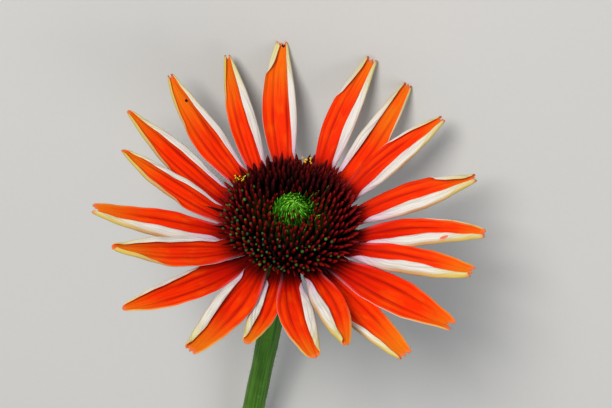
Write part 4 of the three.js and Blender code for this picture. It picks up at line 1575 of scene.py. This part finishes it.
class CONEFLOWER_OT_stage(bpy.types.Operator):
    """Sets the table, the light and the camera."""

    bl_idname = "coneflower.stage"
    bl_label = "Table, light and camera"

    def execute(self, context):
        scene = context.scene
        look = scene.coneflower
        self.table(look)
        aim = Vector(HEAD_PLACE) * MM
        for name, place, width, share, colour in LAMPS:
            light = bpy.data.lights.new(name, "AREA")
            light.shape = "DISK"
            light.size = width
            light.energy = share * look.lamp_power
            light.color = colour
            lamp = self.stand(name, light)
            lamp.location = place
            lamp.rotation_euler = (aim - Vector(place)).to_track_quat("-Z", "Y").to_euler()

        world = bpy.data.worlds.new("room")
        world.use_nodes = True
        background = world.node_tree.nodes["Background"]
        background.inputs["Color"].default_value = ROOM_COLOUR
        background.inputs["Strength"].default_value = ROOM_LIGHT
        scene.world = world
        scene.view_settings.view_transform = "Standard"
        scene.view_settings.look = "None"

        camera = bpy.data.cameras.new("camera")
        camera.sensor_width = SENSOR
        camera.lens = CAMERA_DISTANCE / MM_PER_PIXEL * SENSOR / PICTURE[0]
        camera.clip_start, camera.clip_end = 0.01, 10.0
        camera.dof.use_dof = False
        scene.camera = self.stand("camera", camera)
        scene.camera.matrix_world = self.camera_place()
        return {"FINISHED"}

    def stand(self, name, data):
        """One object of the stage, which isn't part of the flower."""
        made = bpy.data.objects.new(name, data)
        bpy.context.scene.collection.objects.link(made)
        return made

    def table(self, look):
        """A plain table top whose upper side is at height 0."""
        mesh = bpy.data.meshes.new("table")
        corners = [
            (x * TABLE_REACH, y * TABLE_REACH, z)
            for z in (-TABLE_DEPTH, 0.0) for x, y in ((-1, -1), (1, -1), (1, 1), (-1, 1))
        ]
        mesh.from_pydata(corners, [], [
            (3, 2, 1, 0), (4, 5, 6, 7), (0, 1, 5, 4), (1, 2, 6, 5), (2, 3, 7, 6), (3, 0, 4, 7),
        ])
        mesh.materials.append(table_finish(look))
        self.stand("table", mesh)

    def camera_place(self):
        """The camera looks at the face of the head, tilted down to it and turned a little."""
        sin_turn, cos_turn = math.sin(VIEW_TURN), math.cos(VIEW_TURN)
        sin_tilt, cos_tilt = math.sin(VIEW_TILT), math.cos(VIEW_TILT)
        basis = HEAD[:3, :3]
        right = basis @ np.array([cos_turn, 0, sin_turn])
        up = basis @ np.array([-sin_turn * sin_tilt, cos_tilt, cos_turn * sin_tilt])
        back = basis @ np.array([-sin_turn * cos_tilt, -sin_tilt, cos_turn * cos_tilt])
        across = (HEAD_PIXEL[0] - PICTURE[0] / 2) * MM_PER_PIXEL
        rise = (PICTURE[1] / 2 - HEAD_PIXEL[1]) * MM_PER_PIXEL
        place = (HEAD[:3, 3] + back * CAMERA_DISTANCE - right * across - up * rise) * MM
        axes = Matrix((Vector(right), Vector(up), Vector(back))).transposed().to_4x4()
        return Matrix.Translation(place) @ axes


OPERATORS = (
    CONEFLOWER_OT_petals, CONEFLOWER_OT_cone, CONEFLOWER_OT_florets, CONEFLOWER_OT_heart,
    CONEFLOWER_OT_stem, CONEFLOWER_OT_stage,
)


class CONEFLOWER_PT_panel(bpy.types.Panel):
    """Lists the steps that build the flower, and its sizes and colours."""

    bl_idname = "CONEFLOWER_PT_panel"
    bl_label = "Coneflower"
    bl_space_type = "VIEW_3D"
    bl_region_type = "UI"
    bl_category = "Coneflower"

    def draw(self, context):
        for operator in OPERATORS:
            self.layout.operator(operator.bl_idname)
        column = self.layout.column()
        for key in ConeflowerLook.__annotations__:
            column.prop(context.scene.coneflower, key)


CLASSES = (ConeflowerLook, *OPERATORS, CONEFLOWER_PT_panel)


def register():
    for entry in CLASSES:
        bpy.utils.register_class(entry)
    bpy.types.Scene.coneflower = bpy.props.PointerProperty(type=ConeflowerLook)


def unregister():
    del bpy.types.Scene.coneflower
    for entry in reversed(CLASSES):
        bpy.utils.unregister_class(entry)


def main():
    register()
    bpy.ops.coneflower.petals()
    bpy.ops.coneflower.cone()
    bpy.ops.coneflower.florets()
    bpy.ops.coneflower.heart()
    bpy.ops.coneflower.stem()
    bpy.ops.coneflower.stage()


if __name__ == "__main__":
    main()
